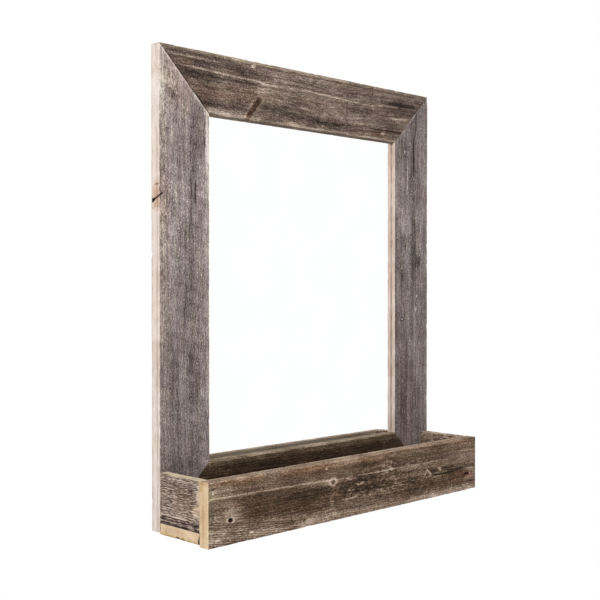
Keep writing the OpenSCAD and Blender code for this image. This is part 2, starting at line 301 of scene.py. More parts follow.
# A board's place: the corner it is measured from, and the ways along, across and into it
class Board:
    def __init__(self, node, corner, along, across, inward, mitre=False):
        low, high = (np.array(v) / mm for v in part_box(node))
        self.node, self.mitre = node, mitre
        self.axes = np.array([along, across, inward], float)
        self.origin = np.where(np.array(corner) > 0, high, low)
        self.length, self.width, self.thick = np.abs(self.axes) @ (high - low)

    def toFrame(self, local):
        return self.origin + local @ self.axes

    # A well, a little wider than the head, for each nail or screw of a node that ends at the board's face
    def wells(self, node, side, headWide, deep):
        room, deepest = 0.15, 2
        found = []
        for low, high in shells(node):
            near, far = np.sort(np.stack([(v - self.origin) @ self.axes.T for v in (low, high)]), axis=0)
            s, t = (near[:2] + far[:2]) / 2
            depth = near[2] if side == "front" else self.thick - far[2]
            if 0 < s < self.length and 0 < t < self.width and abs(depth) < deepest:
                found.append(dict(at=(s, t), wide=headWide + 2 * room, deep=deep, side=side))
        return found


# Shells: the separate solids of a CAD node, as lowest and highest corners. Points at one place share a label,
# and the smallest label spreads over each triangle until nothing changes
def shells(node):
    mesh = frame["nodes"][node].data
    points = np.zeros(len(mesh.vertices) * 3, np.float32)
    mesh.vertices.foreach_get("co", points)
    mesh.calc_loop_triangles()
    triangles = np.zeros(len(mesh.loop_triangles) * 3, np.int32)
    mesh.loop_triangles.foreach_get("vertices", triangles)
    places, number = np.unique(np.round(points.reshape(-1, 3) / mm, 3), axis=0, return_inverse=True)
    triangles = number.ravel()[triangles.reshape(-1, 3)]
    label = np.arange(len(places))
    while True:
        spread = label.copy()
        np.minimum.at(spread, triangles.ravel(), np.repeat(label[triangles].min(axis=1), 3))
        if (spread == label).all():
            return [(places[label == k].min(0), places[label == k].max(0)) for k in np.unique(label)]
        label = spread


paneLow, paneHigh = (np.array(v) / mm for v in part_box("mirror_pane"))
frameLow, stileHigh = (np.array(v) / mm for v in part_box("stile_left"))
frameHigh = np.array(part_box("stile_right")[1]) / mm
boardWide = stileHigh[0] - frameLow[0]
lipThick = paneLow[1] - frameLow[1]
rabbetWide = 9.5
vNail = dict(leg=8, thick=0.5)
vNailAt = sorted({round(low[0] - frameLow[0] + vNail["thick"] / 2, 2) for low, high in shells("mitre_v_nails")
                  if high[0] < 0 and high[2] < (frameLow[2] + frameHigh[2]) / 2})

# How far the closer steps of a board's grid reach past the rim of a hole, past one in the back of a mitred
# board, past one along its leaning lines, and to both sides of a V-nail
fineRoom = dict(rim=0.3, back=0.6, leaning=0.8, vNail=0.9)


# Builds a board: its section carried along the length, sheared at mitred ends, weathered inwards only
def makeBoard(board, look):
    length, width, thick = board.length, board.width, board.thick
    holes = look["holes"]
    frontHoles = [h for h in holes if not board.mitre or h["side"] == "front"]
    fineAcross = [(h["at"][1], h["wide"] / 2 + fineRoom["rim"]) for h in frontHoles]
    acrossSteps = steps(width, look["stepAcross"], fineAcross)
    depthSteps = steps(thick, look["stepDeep"])
    if board.mitre:
        sideNames = ["front", "inner", "step", "wall", "back", "outer"]
        backWide, middle = width - rabbetWide, length / 2
        corners = [(0, 0), (width, 0), (width, lipThick), (backWide, lipThick), (backWide, thick), (0, thick)]
        # the lines along a mitred board lean, so a fine place lies where the hole's own line starts
        fineAlong = [(middle + (h["at"][0] - middle) * middle / (middle - h["at"][1]),
                      h["wide"] / 2 + fineRoom["leaning"]) for h in holes]
        fineBack = [(backWide - h["at"][1], h["wide"] / 2 + fineRoom["back"])
                    for h in holes if h not in frontHoles]
        fineBack += [(backWide - at, fineRoom["vNail"]) for at in vNailAt]
        lipSteps, wallSteps = steps(lipThick, 1.0), steps(thick - lipThick, 2.5)
        backSteps = steps(backWide, 2.2, fineBack)
        sideSteps = [acrossSteps, lipSteps, steps(rabbetWide, 3), wallSteps, backSteps, depthSteps]
    else:
        sideNames = ["front", "inner", "back", "outer"]
        corners = [(0, 0), (width, 0), (width, thick), (0, thick)]
        fineAlong = [(h["at"][0], h["wide"] / 2 + fineRoom["rim"]) for h in holes]
        sideSteps = [acrossSteps, depthSteps, width - acrossSteps[::-1], thick - depthSteps[::-1]]
    section, outward, side, ease, away = outline(corners, sideSteps)
    stations = steps(length, look["stepAlong"], fineAlong + look["fineAlong"])
    rows, columns = len(stations), len(section)

    s = np.repeat(stations[:, None], columns, 1)
    t = np.repeat(section[None, :, 0], rows, 0)
    d = np.repeat(section[None, :, 1], rows, 0)
    normal = np.zeros((rows, columns, 3))
    normal[..., 1:] = outward
    slide = np.zeros((rows, columns, 3))
    slide[..., 1:] = away
    ease = np.repeat(ease[None], rows, 0)
    endEase = np.minimum(s, length - s)
    label = np.repeat(side[None], rows, 0)
    if not board.mitre:
        normal[0, :, 0], normal[-1, :, 0] = -1, 1
        normal /= np.linalg.norm(normal, axis=-1, keepdims=True)

    flat = [v.reshape(-1) for v in (s, t, d, ease, endEase, label)]
    normal, slide = normal.reshape(-1, 3), slide.reshape(-1, 3)
    tube = np.arange(rows * columns).reshape(rows, columns)
    faces = [gridQuads(np.concatenate([tube, tube[:, :1]], 1))]
    farIn = 99.0  # what an end's inner points have for their distance from the arrises along the board
    if board.mitre:
        # each mitre is closed by a fan round a point from which the whole section is seen
        hubT, hubD = width / 2, lipThick / 2
        first = len(flat[0])
        more = ((0, length), (hubT, hubT), (hubD, hubD), (farIn, farIn), (0, 0), (-2, -2))
        flat = [np.concatenate([a, b]) for a, b in zip(flat, more)]
        normal, slide = (np.concatenate([a, np.zeros((2, 3))]) for a in (normal, slide))
        for ring, hub in ((tube[0], first), (tube[-1][::-1], first + 1)):
            faces.append(np.stack([np.full(columns, hub), np.roll(ring, -1), ring], 1))
    else:
        # each end is a grid of inner points whose rim is the tube's own first or last ring
        na, nd = len(acrossSteps), len(depthSteps)
        innerT, innerD = (v.ravel() for v in np.meshgrid(acrossSteps[1:-1], depthSteps[1:-1], indexing="ij"))
        rimT, rimD = np.minimum(innerT, width - innerT), np.minimum(innerD, thick - innerD)
        level = 0 * innerT
        for end in (0, 1):
            numbers = np.zeros((na, nd), int)
            ring = tube[-1 if end else 0]
            numbers[:, 0] = ring[:na]
            numbers[-1, :] = ring[na - 1:na + nd - 1]
            numbers[::-1, -1] = ring[na + nd - 2:2 * na + nd - 2]
            numbers[0, ::-1] = np.append(ring[2 * na + nd - 3:], ring[0])
            numbers[1:-1, 1:-1] = len(flat[0]) + np.arange(len(innerT)).reshape(na - 2, nd - 2)
            more = [level + length * end, innerT, innerD, level + farIn, np.minimum(rimT, rimD), level - 1]
            flat = [np.concatenate([a, b]) for a, b in zip(flat, more)]
            normal = np.concatenate([normal, np.tile([2 * end - 1, 0, 0], (len(innerT), 1))])
            toMiddle = np.where((rimT < rimD)[:, None],
                                np.stack([level, np.sign(width / 2 - innerT), level], 1),
                                np.stack([level, level, np.sign(thick / 2 - innerD)], 1))
            slide = np.concatenate([slide, toMiddle])
            faces.append(gridQuads(numbers)[:, ::-1] if end else gridQuads(numbers))
    s, t, d, ease, endEase, label = flat

    if board.mitre:
        # each line along the board runs from its own mitre to the other: squeezed near the ends, true between
        reach = np.clip((s - length / 2) / (length / 2), -1, 1)
        s = length / 2 + reach * (length / 2 - t)
        endEase = np.minimum(s - t, length - t - s) / math.sqrt(2)

    local, values = boardShape(board, look, sideNames, s, t, d, normal, slide, ease, endEase, label)
    for corner in look["roundedCorners"]:
        roundCorner(local, corner, length, width)
    if board.mitre:
        gap = 0.12  # open joint between a mitre's face and the plane of the mitre
        local[:, 0] = np.clip(local[:, 0], local[:, 1] + gap, length - local[:, 1] - gap)
    for k, size in enumerate((length, width, thick)):
        local[:, k] = local[:, k].clip(0, size)
    if np.linalg.det(board.axes) < 0:
        faces = [f[:, ::-1] for f in faces]
    piece = newMesh(board.node + "_wood", board.toFrame(local), faces)
    piece.data.set_sharp_from_angle(angle=math.radians(60))
    for name, value in values.items():
        addAttribute(piece, name, value)
    return piece


# Rounds a corner through the whole thickness: points outside its arc move onto it, towards the arc's centre
def roundCorner(local, corner, length, width):
    outwards = np.array([1 if corner["far"] else -1, 1 if corner["low"] else -1])
    centre = np.array([length * corner["far"], width * corner["low"]]) - outwards * corner["r"]
    off = np.clip((local[:, :2] - centre) * outwards, 0, None)
    reach = np.hypot(off[:, 0], off[:, 1])
    outside = (off.min(axis=1) > 0) & (reach > corner["r"])
    local[outside, :2] = centre + (off * outwards * (corner["r"] / np.maximum(reach, 1e-6))[:, None])[outside]


# Moves the points of a board inwards by its weathering and gives the values that its material reads
def boardShape(board, look, sideNames, s, t, d, normal, slide, ease, endEase, label):
    seed, length = look["seed"], board.length
    on = {name: (label == n).astype(float) for n, name in enumerate(sideNames)}
    endFace = (label < 0).astype(float)
    places = {name: (s, t if name in ("front", "back") else d, mask) for name, mask in on.items()}
    places["start"] = (d, t, endFace * (s < length / 2))
    places["finish"] = (d, t, endFace * (s > length / 2))
    across, depth, rings, knotty, knotShade = woodField(look, s, t, d)
    wear = dict(front=1.0, back=0.45, inner=0.3, outer=0.3, step=0, wall=0, end=0.35)
    wear.update(look["wear"])
    rough = sum(on[name] * wear[name] for name in on) + endFace * wear["end"]

    ridge = ridgeDepth(rings) * (0.75 + 0.5 * cloud(s / 60, t / 25, d / 9, seed + 5, 2))
    fibre = 0.5 + 0.5 * cloud(s / 13, across / 1.3, depth / 1.3, seed + 6, 3)
    pits = np.clip(cloud(s / 5.5, across / 1.1, depth / 1.1, seed + 7, 2) - 0.25, 0, 1) * 2.2
    sink = look["ridge"] * ridge + look["fibre"] * fibre + look["pit"] * pits
    sink = sink * (1 - 0.6 * knotty) + 0.25 * knotty * (0.5 + 0.5 * np.sin(2 * math.pi * rings))
    sink = sink * rough + 0.12 * rough * (1 + cloud(s / 90, t / 40, 0, seed + 8, 2))
    hub = label == -2

    # dents are bowls that a blow, a driven nail or a lost chip has left
    sink = sink + np.clip(patchField(look["dents"], places, seed + 70), 0, 4)
    # painted shade: the dark spots, the checks, the V-nails' slots and the holes darken the wood where shade
    # falls
    hollowShade = np.clip(patchField(look["dark"], places, seed + 71) + 0 * s, 0, 1)
    for item in look["checks"]:
        cut = checkDepth(item, s, t, seed) * on["front"]
        sink += cut
        hollowShade = np.maximum(hollowShade, cut / item["depth"])
    if board.mitre:
        fromMitre = np.minimum(s, length - s) - t
        nearMitre = (on["back"] > 0) & (fromMitre < vNail["leg"] + 0.3)
        for at in vNailAt:
            slot = nearMitre & (np.abs(t - at) < 0.75 * vNail["thick"])
            sink, hollowShade = np.where(slot, 0.5, sink), np.where(slot, 0.7, hollowShade)
    for hole in look["holes"]:
        s, t, sink, hollowShade = boreHole(hole, s, t, on, sink, hollowShade)

    arris = look["arris"] * (1 + 0.7 * cloud(s / 17, t / 9, d / 9, seed + 11, 3))
    chip = np.clip(cloud(s / 9, t / 30, d / 30, seed + 12, 2) - look["chipFrom"], 0, 1)
    arris = np.clip(arris + look["chip"] * chip, 0.3, 4)
    if board.mitre:
        arris = np.where((on["step"] + on["wall"]) > 0, 0.05, arris)
    sinkEdge, shift = roundedArris(ease, arris)
    local = np.stack([s, t, d], -1)
    local -= normal * (sink + sinkEdge)[:, None]
    local += slide * (shift * (endFace == 0))[:, None]
    endArris = (0.2 if board.mitre else 0.5) * (1 + 0.5 * cloud(t / 7, d / 7, s / 50, seed + 13, 2))
    endSink, endShift = roundedArris(endEase, endArris, not board.mitre)
    inwards = np.sign(length / 2 - s)
    local -= normal * endSink[:, None]
    local[:, 0] += inwards * endShift * (endFace == 0) * ~hub * (math.sqrt(2) if board.mitre else 1)
    local += slide * (endShift * endFace)[:, None]

    # What the material reads
    tone = look["tone"] + knotShade
    tone += look["streaky"] * cloud(s / 70, across / 3.2, depth / 3.2, seed + 20, 3)
    tone += look["blotchy"] * cloud(s / 38, t / 22, 1, seed + 21, 4)
    tone += streakField(look["streaks"], places, seed)
    tone += patchField(look["patches"], places, seed)
    mottle = cloud(s / 4, t / 2.3, d / 2.3, seed + 28, 2)
    tone += patchField(look["mottled"], places, seed + 73) * mottle
    ringed = 1 + patchField(look["ringed"], places, seed + 72)
    tone += look["ringTone"] * ringed * (0.5 - ridgeDepth(rings))
    tone += look["arrisTone"] * bell(ease, 1.6) * on["front"]
    sawPhase = (s + 0.35 * t + 5 * cloud(s / 60, t / 60, 0, seed + 26)) / 19
    tone += look["sawn"] * np.sin(2 * math.pi * sawPhase)
    for name, value in look["sideTone"].items():
        tone += value * (endFace if name == "end" else on[name])
    for item in look["mitreLines"]:
        fromMitre = ((length - s if item["end"] else s) - t) / math.sqrt(2)
        low, high = item["over"]
        here = smoothStep(low - 3, low + 3, t) * (1 - smoothStep(high - 3, high + 3, t)) * on["front"]
        uneven = 1 + 0.6 * cloud(t / 5, 0, 0, seed + 27, 3)
        tone += item["tone"] * bell(fromMitre - 0.5, item["half"]) * here * uneven
    rust = look["rust"] + patchField(look["rusty"], places, seed)
    rust += 0.12 * cloud(s / 50, across / 8, 2, seed + 22, 3)
    moss = look["moss"] + patchField(look["mossy"], places, seed)
    moss += 0.2 * np.clip(cloud(s / 30, across / 9, 3, seed + 23, 3), 0, 1)
    bare = endFace * look["bareEnd"] + hub
    for name, value in look["bare"].items():
        bare = bare + on[name] * value
    bare += patchField(look["barePatches"], places, seed)
    # worn arrises show the bare wood in short, ragged dashes
    scuff = smoothStep(0.05, 0.5, cloud(s / 10, t / 3, d / 3, seed + 24, 3))
    bare = np.maximum(bare, look["scuff"] * scuff * bell(ease, 1.1) * on["front"])
    values = dict(
        grain=np.stack([s, across, depth], -1), rings=rings, tone=tone,
        rust=np.clip(rust, 0, 1), moss=np.clip(moss, 0, 1), bare=np.clip(bare, 0, 1),
        # painted shade, also where the weathering has sunk the surface deepest
        hollowShade=np.clip(np.maximum(hollowShade, 0.35 * np.clip(sink - 0.45, 0, 1)), 0, 1))
    return local, values


# Hole: points within a quarter of a millimetre of the rim move onto it, and what lies inside sinks to the
# floor. Its inside and a narrow ring round its rim get painted shade
def boreHole(hole, s, t, on, sink, hollowShade):
    cs, ct = hole["at"]
    ds, dt = s - cs, t - ct
    distance = np.hypot(ds, dt)
    radius = hole["wide"] / 2
    here = on[hole["side"]] > 0
    snapped = (np.abs(distance - radius) < 0.25) & here
    scale = np.where(snapped, radius / np.maximum(distance, 1e-6), 1)
    inside = (distance < radius) & here
    rim = np.where(here, np.maximum(hollowShade, 0.45 * bell(distance - radius, 0.8)), hollowShade)
    s, t = np.where(here, cs + ds * scale, s), np.where(here, ct + dt * scale, t)
    return s, t, np.where(inside, hole["deep"], sink), np.where(inside, 1, rim)


# A hand for building a material or a world: each call adds one node and links, or sets, what it is given
class Nodes:
    def __init__(self, name, world=False):
        self.owner = (bpy.data.worlds if world else bpy.data.materials).new(name)
        self.output = "ShaderNodeOutputWorld" if world else "ShaderNodeOutputMaterial"
        self.owner.use_nodes = True
        self.tree = self.owner.node_tree
        self.tree.nodes.clear()

    # An input is named with _ for each blank, or numbered as i0, i1 and so on
    def add(self, kind, settings=None, **inputs):
        node = self.tree.nodes.new(kind)
        for key, value in (settings or {}).items():
            setattr(node, key, value)
        for key, value in inputs.items():
            numbered = key[0] == "i" and key[1:].isdigit()
            self.give(node.inputs[int(key[1:]) if numbered else key.replace("_", " ")], value)
        return node

    def give(self, target, value):
        if isinstance(value, bpy.types.NodeSocket):
            self.tree.links.new(value, target)
        else:
            target.default_value = value

    def maths(self, operation, a, b=0.5):
        return self.add("ShaderNodeMath", dict(operation=operation), i0=a, i1=b).outputs[0]

    # a times factor, plus b
    def scaledSum(self, a, factor, b):
        return self.add("ShaderNodeMath", dict(operation="MULTIPLY_ADD"), i0=a, i1=factor, i2=b).outputs[0]

    # a and b, each times its own share
    def mixture(self, a, shareA, b, shareB):
        return self.maths("ADD", self.maths("MULTIPLY", a, shareA), self.maths("MULTIPLY", b, shareB))

    def attribute(self, name, output="Fac"):
        return self.add("ShaderNodeAttribute", dict(attribute_name=name)).outputs[output]

    def place(self):
        return self.add("ShaderNodeTexCoord").outputs["Object"]

    def noise(self, vector, scale, detail=3, roughness=0.6, stretch=(1, 1, 1)):
        mapped = self.add("ShaderNodeMapping", Vector=vector, Scale=stretch).outputs[0]
        made = self.add("ShaderNodeTexNoise", Vector=mapped, Scale=scale, Detail=detail, Roughness=roughness)
        return made.outputs[0]

    def ramp(self, value, stops):
        node = self.add("ShaderNodeValToRGB", Fac=value)
        colours = node.color_ramp
        while len(colours.elements) < len(stops):
            colours.elements.new(0.5)
        for element, (place, colour) in zip(colours.elements, stops):
            element.position = place
            element.color = linear(colour)
        return node.outputs[0]

    def blend(self, amount, a, b, mode="MIX"):
        node = self.add("ShaderNodeMix", dict(data_type="RGBA", blend_type=mode, clamp_factor=True))
        for key, value in ((0, amount), (6, a), (7, b)):
            self.give(node.inputs[key], value)
        return node.outputs[2]

    def range(self, value, low, high, toLow=0.0, toHigh=1.0):
        limits = dict(From_Min=low, From_Max=high, To_Min=toLow, To_Max=toHigh)
        return self.add("ShaderNodeMapRange", dict(clamp=True), Value=value, **limits).outputs[0]

    def bump(self, height, strength, distance):
        return self.add("ShaderNodeBump", Height=height, Strength=strength, Distance=distance).outputs[0]

    def surface(self, **inputs):
        return self.finish(self.add("ShaderNodeBsdfPrincipled", **inputs))

    # 1 for rays from the camera, a mirror or glass, and 0 for light that only bounces
    def seen(self):
        path = self.add("ShaderNodeLightPath").outputs
        seen = self.maths("MAXIMUM", path["Is Camera Ray"], path["Is Glossy Ray"])
        return self.maths("MAXIMUM", seen, path["Is Transmission Ray"])

    def finish(self, shader):
        self.tree.links.new(shader.outputs[0], self.add(self.output).inputs[0])
        return self.owner


# Screen colour (0 to 255) to linear light
def linear(colour):
    c = np.array(colour[:3], float) / 255
    c = np.where(c <= 0.04045, c / 12.92, ((c + 0.055) / 1.055) ** 2.4)
    return (*c, 1.0)


# Weathered wood: a ramp from hollow to ridge colour, driven by the board's own tone, its rings and its fibres
def weatheredWood(name, look):
    n = Nodes(name)
    grain = n.attribute("grain", "Vector")
    rings, tone = n.attribute("rings"), n.attribute("tone")
    fibre = n.noise(grain, 1.0, 4, 0.62, (0.06, 0.9, 0.9))
    fuzz = n.noise(grain, 1.0, 3, 0.6, (0.3, 1.3, 1.3))
    speck = n.noise(grain, 1.0, 2, 0.7, look["speckSize"])
    dash = n.noise(grain, 1.0, 2, 0.6, look["dashSize"])
    patch = n.noise(grain, 1.0, 3, 0.6, (0.03, 0.06, 0.06))
    hue = n.noise(grain, 1.0, 2, 0.5, (0.025, 0.09, 0.09))
    phase = n.maths("FRACT", rings)
    ring = n.maths("SINE", n.maths("MULTIPLY", n.maths("POWER", phase, 0.6), math.pi))

    value = n.scaledSum(n.maths("SUBTRACT", fibre, 0.5), look["fibreTone"], 0.5)
    # pale flecks are the tops of the specks and dashes, where a torn fibre catches the light
    for part, strength in ((n.maths("SUBTRACT", fuzz, 0.5), look["fuzzTone"]),
                           (n.maths("SUBTRACT", speck, 0.5), look["speckTone"]),
                           (n.range(speck, 0.6, 0.74), look["fleck"]),
                           (n.maths("SUBTRACT", patch, 0.5), 0.35),
                           (n.maths("SUBTRACT", dash, 0.5), look["dashTone"]),
                           (n.range(dash, 0.6, 0.7), look["dashFleck"]),
                           (n.maths("SUBTRACT", 0.45, ring), look["ringLine"]),
                           (tone, 1.0)):
        value = n.scaledSum(part, strength, value)
    rust = n.maths("MULTIPLY", n.attribute("rust"), n.range(fuzz, 0.3, 0.65, 0.4, 1.0))
    moss = n.maths("MULTIPLY", n.attribute("moss"), n.range(fibre, 0.35, 0.6, 0.3, 1.0))
    colour = n.blend(rust, n.ramp(value, look["ramp"]), n.ramp(value, look["rustRamp"]))
    colour = n.blend(moss, colour, n.ramp(value, look["mossRamp"]))
    # faint green and purple where algae and iron have tinted the grey
    tints = [(0.34, (250, 252, 247)), (0.5, (252, 251, 250)), (0.66, (252, 248, 254))]
    colour = n.blend(1.0, colour, n.ramp(hue, tints), "MULTIPLY")

    bareValue = n.scaledSum(n.maths("SUBTRACT", fibre, 0.5), 0.9, n.range(ring, 0, 1, 0.62, 0.42))
    bareValue = n.scaledSum(n.maths("SUBTRACT", patch, 0.5), 0.5, bareValue)
    bareValue = n.scaledSum(tone, 0.5, bareValue)
    bareColour = n.ramp(bareValue, look["bareRamp"])
    bareColour = n.blend(moss, bareColour, linear((214, 208, 152)), "MULTIPLY")
    bareColour = n.blend(rust, bareColour, linear((222, 176, 140)), "MULTIPLY")
    ragged = n.maths("MULTIPLY", n.maths("SUBTRACT", dash if look["dashTone"] else fuzz, 0.5), 0.9)
    colour = n.blend(n.range(n.maths("ADD", n.attribute("bare"), ragged), 0.35, 0.6), colour, bareColour)
    # painted shade in holes, checks, dents and the deepest hollows, in the board's own dark colour for it
    dark = n.range(n.attribute("hollowShade"), 0.1, 0.9)
    colour = n.blend(dark, colour, linear(look["hollowShadeColour"]))

    height = n.maths("ADD", n.mixture(fibre, 0.9, fuzz, 0.6), n.maths("MULTIPLY", speck, 0.7))
    return n.surface(Base_Color=colour, Normal=n.bump(height, 0.6, 0.001), Roughness=0.88,
                     Specular_IOR_Level=0.22)


# Colours of the wood from hollow to ridge: its grey and brown faces, rust, moss, and freshly bared wood
greyRamp = [(0.0, (48, 40, 39)), (0.3, (97, 87, 85)), (0.5, (131, 121, 120)), (0.7, (162, 152, 149)),
            (1.0, (214, 206, 200))]
brownGreyRamp = [(0.0, (36, 28, 25)), (0.3, (80, 67, 61)), (0.5, (113, 98, 90)), (0.7, (147, 131, 121)),
                 (1.0, (208, 194, 180))]
brownRamp = [(0.0, (22, 14, 8)), (0.3, (60, 45, 33)), (0.5, (95, 77, 63)), (0.7, (133, 114, 99)),
             (1.0, (202, 183, 166))]
rustRamp = [(0.0, (40, 22, 14)), (0.4, (98, 62, 42)), (0.7, (152, 108, 80)), (1.0, (208, 166, 132))]
mossRamp = [(0.0, (36, 32, 20)), (0.4, (84, 78, 58)), (0.7, (128, 121, 96)), (1.0, (190, 182, 152))]
pinkBareRamp = [(0.0, (140, 109, 92)), (0.35, (201, 183, 171)), (0.6, (229, 216, 209)),
                (1.0, (250, 243, 238))]
peachBareRamp = [(0.0, (128, 96, 70)), (0.35, (192, 161, 129)), (0.6, (221, 194, 159)),
                 (1.0, (245, 227, 198))]
strawBareRamp = [(0.0, (132, 104, 84)), (0.35, (186, 165, 143)), (0.6, (214, 197, 177)),
                 (1.0, (246, 236, 221))]

# What a board has unless its own look says otherwise: the steps of its grid, its grain, the depth of its
# weathering, its worn arrises, its tone, the size and strength of its fibres' pattern, and what lies on it
plainBoard = dict(
    stepAlong=2.1, stepAcross=0.95, stepDeep=1.0, fineAlong=[], wander=3, slope=0, ridge=0.35, fibre=0.22,
    pit=0.3, wear={}, arris=1.1, chip=6, chipFrom=0.42, scuff=0.5, tone=0, streaky=0.1, blotchy=0.08,
    ringTone=0.12, ringLine=0.1, arrisTone=0.12, sawn=0, sideTone={}, rust=0.1, moss=0.1, bare={},
    bareEnd=1.0, fibreTone=1.1, fuzzTone=0.9, speckTone=1.3, speckSize=(0.34, 0.6, 0.6), fleck=0.16,
    # painted shade: the dark colour for holes, checks, dents and joints is on the next line, its dark spots
    # below
    dashTone=0.0, dashSize=(0.07, 0.5, 0.5), dashFleck=0.0, hollowShadeColour=(34, 26, 21), rustRamp=rustRamp,
    mossRamp=mossRamp, bareRamp=peachBareRamp, knots=[], checks=[], mitreLines=[], streaks=[], patches=[],
    mottled=[], ringed=[], rusty=[], mossy=[], barePatches=[], dents=[], dark=[], holes=[],
    roundedCorners=[])

# Each board's own look. Places are in millimetres, along the board and across it from its outer edge, or on
# a side along the board and down from its face
stileLeftLook = dict(
    plainBoard, ramp=greyRamp, bareRamp=pinkBareRamp, seed=11, pith=(30, 60), ringWidth=1.9, wander=5,
    ridge=0.3, fibre=0.24, pit=0.4, tone=0.01, streaky=0.13, blotchy=0.14, ringTone=0.05, ringLine=0.05,
    rust=0.03, moss=0.03, sawn=0.03, speckTone=1.25, fleck=0.1, scuff=0.8,
    bare=dict(outer=1.0, inner=0.9), sideTone=dict(back=-0.04, outer=0.08), stepAlong=2.5,
    knots=[branchKnot(464, 0, 6, 7, axis=(0.1, 1, 0.9), stretch=1.9, core=-0.1),
           branchKnot(606, 32, 0, 2.4, stretch=1.5, core=-0.16, halo=0.05)],
    fineAlong=[(469, 15)],
    checks=[dict(ends=((490, 63.5), (459, 63.4)), width=1.5, depth=1.2)],
    mitreLines=[dict(end=1, over=(0, 92), half=3, tone=0.2)],
    streaks=[grainLine(1.5, 0.26, (474, 60), (490, 60), broken=0.3, fade=8),
             # the dark line along the check is painted shade in the crack
             grainLine(1.3, -0.5, (459, 63.4), (490, 63.5), broken=0.1, fade=6),
             grainLine(4, -0.14, (500, 62), (606, 63), broken=0.5, fade=30),
             grainLine(1.2, -0.3, (428, 55.3), (493, 55.4), broken=0.3),
             grainLine(4, -0.12, (60, 56), (620, 58), broken=0.7),
             grainLine(0.8, -0.7, (0, 5), (200, 6), (420, 5), (560, 6), side="outer", waver=1.0),
             grainLine(4, 0.2, (0, 12), (677, 13), side="outer"),
             grainLine(1.2, -0.4, (0, 17.5), (677, 17), side="outer", broken=0.9, waver=1.2),
             grainLine(2, -0.1, (30, 33), (300, 31), (560, 36), broken=0.9),
             grainLine(5, 0.06, (80, 79), (400, 80))],
    patches=[spot(547, 85.5, 38, 3.6, 0.4, rough=0.7), spot(630, 26, 54, 34, 0.17),
             spot(110, 45, 170, 60, -0.08), spot(472, 8, 9, 7, -0.16, rough=0.6),
             spot(455, 5, 34, 10, 0.14, soft=0.9, rough=0.6), spot(400, 5, 290, 9, 0.07, soft=0.9),
             spot(420, 86, 260, 4, 0.14), spot(648, 70, 40, 14, 0.1), spot(560, 68, 40, 12, -0.1),
             spot(60, 30, 50, 24, -0.06), spot(308, 58, 76, 14, -0.12), spot(462, 28, 56, 11, 0.07),
             spot(640, 3, 46, 5, 0.16, rough=0.9, soft=0.8), spot(590, 26, 24, 8, -0.09, rough=0.9),
             spot(607, 24, 5, 3, -0.24, rough=0.9), spot(616, 10, 7, 4, -0.16, rough=0.9)],
    mottled=[spot(620, 20, 64, 34, 0.18, soft=0.8), spot(440, 5, 170, 10, 0.24, soft=0.8),
             spot(556, 82, 50, 10, 0.25)],
    rusty=[spot(632, 38, 44, 30, 0.28), spot(400, 6, 290, 10, 0.17, soft=0.9),
           spot(462, 4, 34, 10, 0.22, soft=0.9), spot(466, 7, 22, 9, 0.6, side="outer"),
           spot(330, 70, 120, 14, 0.12)],
    mossy=[spot(400, 8, 300, 11, 0.24, soft=0.9), spot(590, 78, 60, 12, 0.2),
           spot(410, 48, 18, 8, 0.2, soft=0.8)],
    dents=[spot(460.5, 15.5, 4.6, 2.4, 1.8, turn=-68, side="outer"),
           spot(464, 7, 8, 1.3, 1.2, turn=-68, side="outer", bar=True),
           spot(468.5, 3.6, 5, 1.2, 1.0, turn=58, bar=True)],
    # the dark spots are painted shade in the dents and in the cracks round the knot and along the edge
    dark=[spot(460.5, 15.5, 4.6, 2.4, 1.0, turn=-68, side="outer"),
          spot(464, 7, 8, 1.3, 0.95, turn=-68, side="outer", bar=True, rough=0.3),
          spot(468.5, 3.6, 5, 1.2, 0.95, turn=58, bar=True, rough=0.3),
          spot(482.5, 6, 1.4, 5, 0.6, side="outer"), spot(484, 1, 1.9, 1.7, 0.6),
          spot(476, 0.9, 4, 1.1, 0.8), spot(451.5, 12.5, 7.3, 0.7, 0.45, turn=-63, side="outer")])

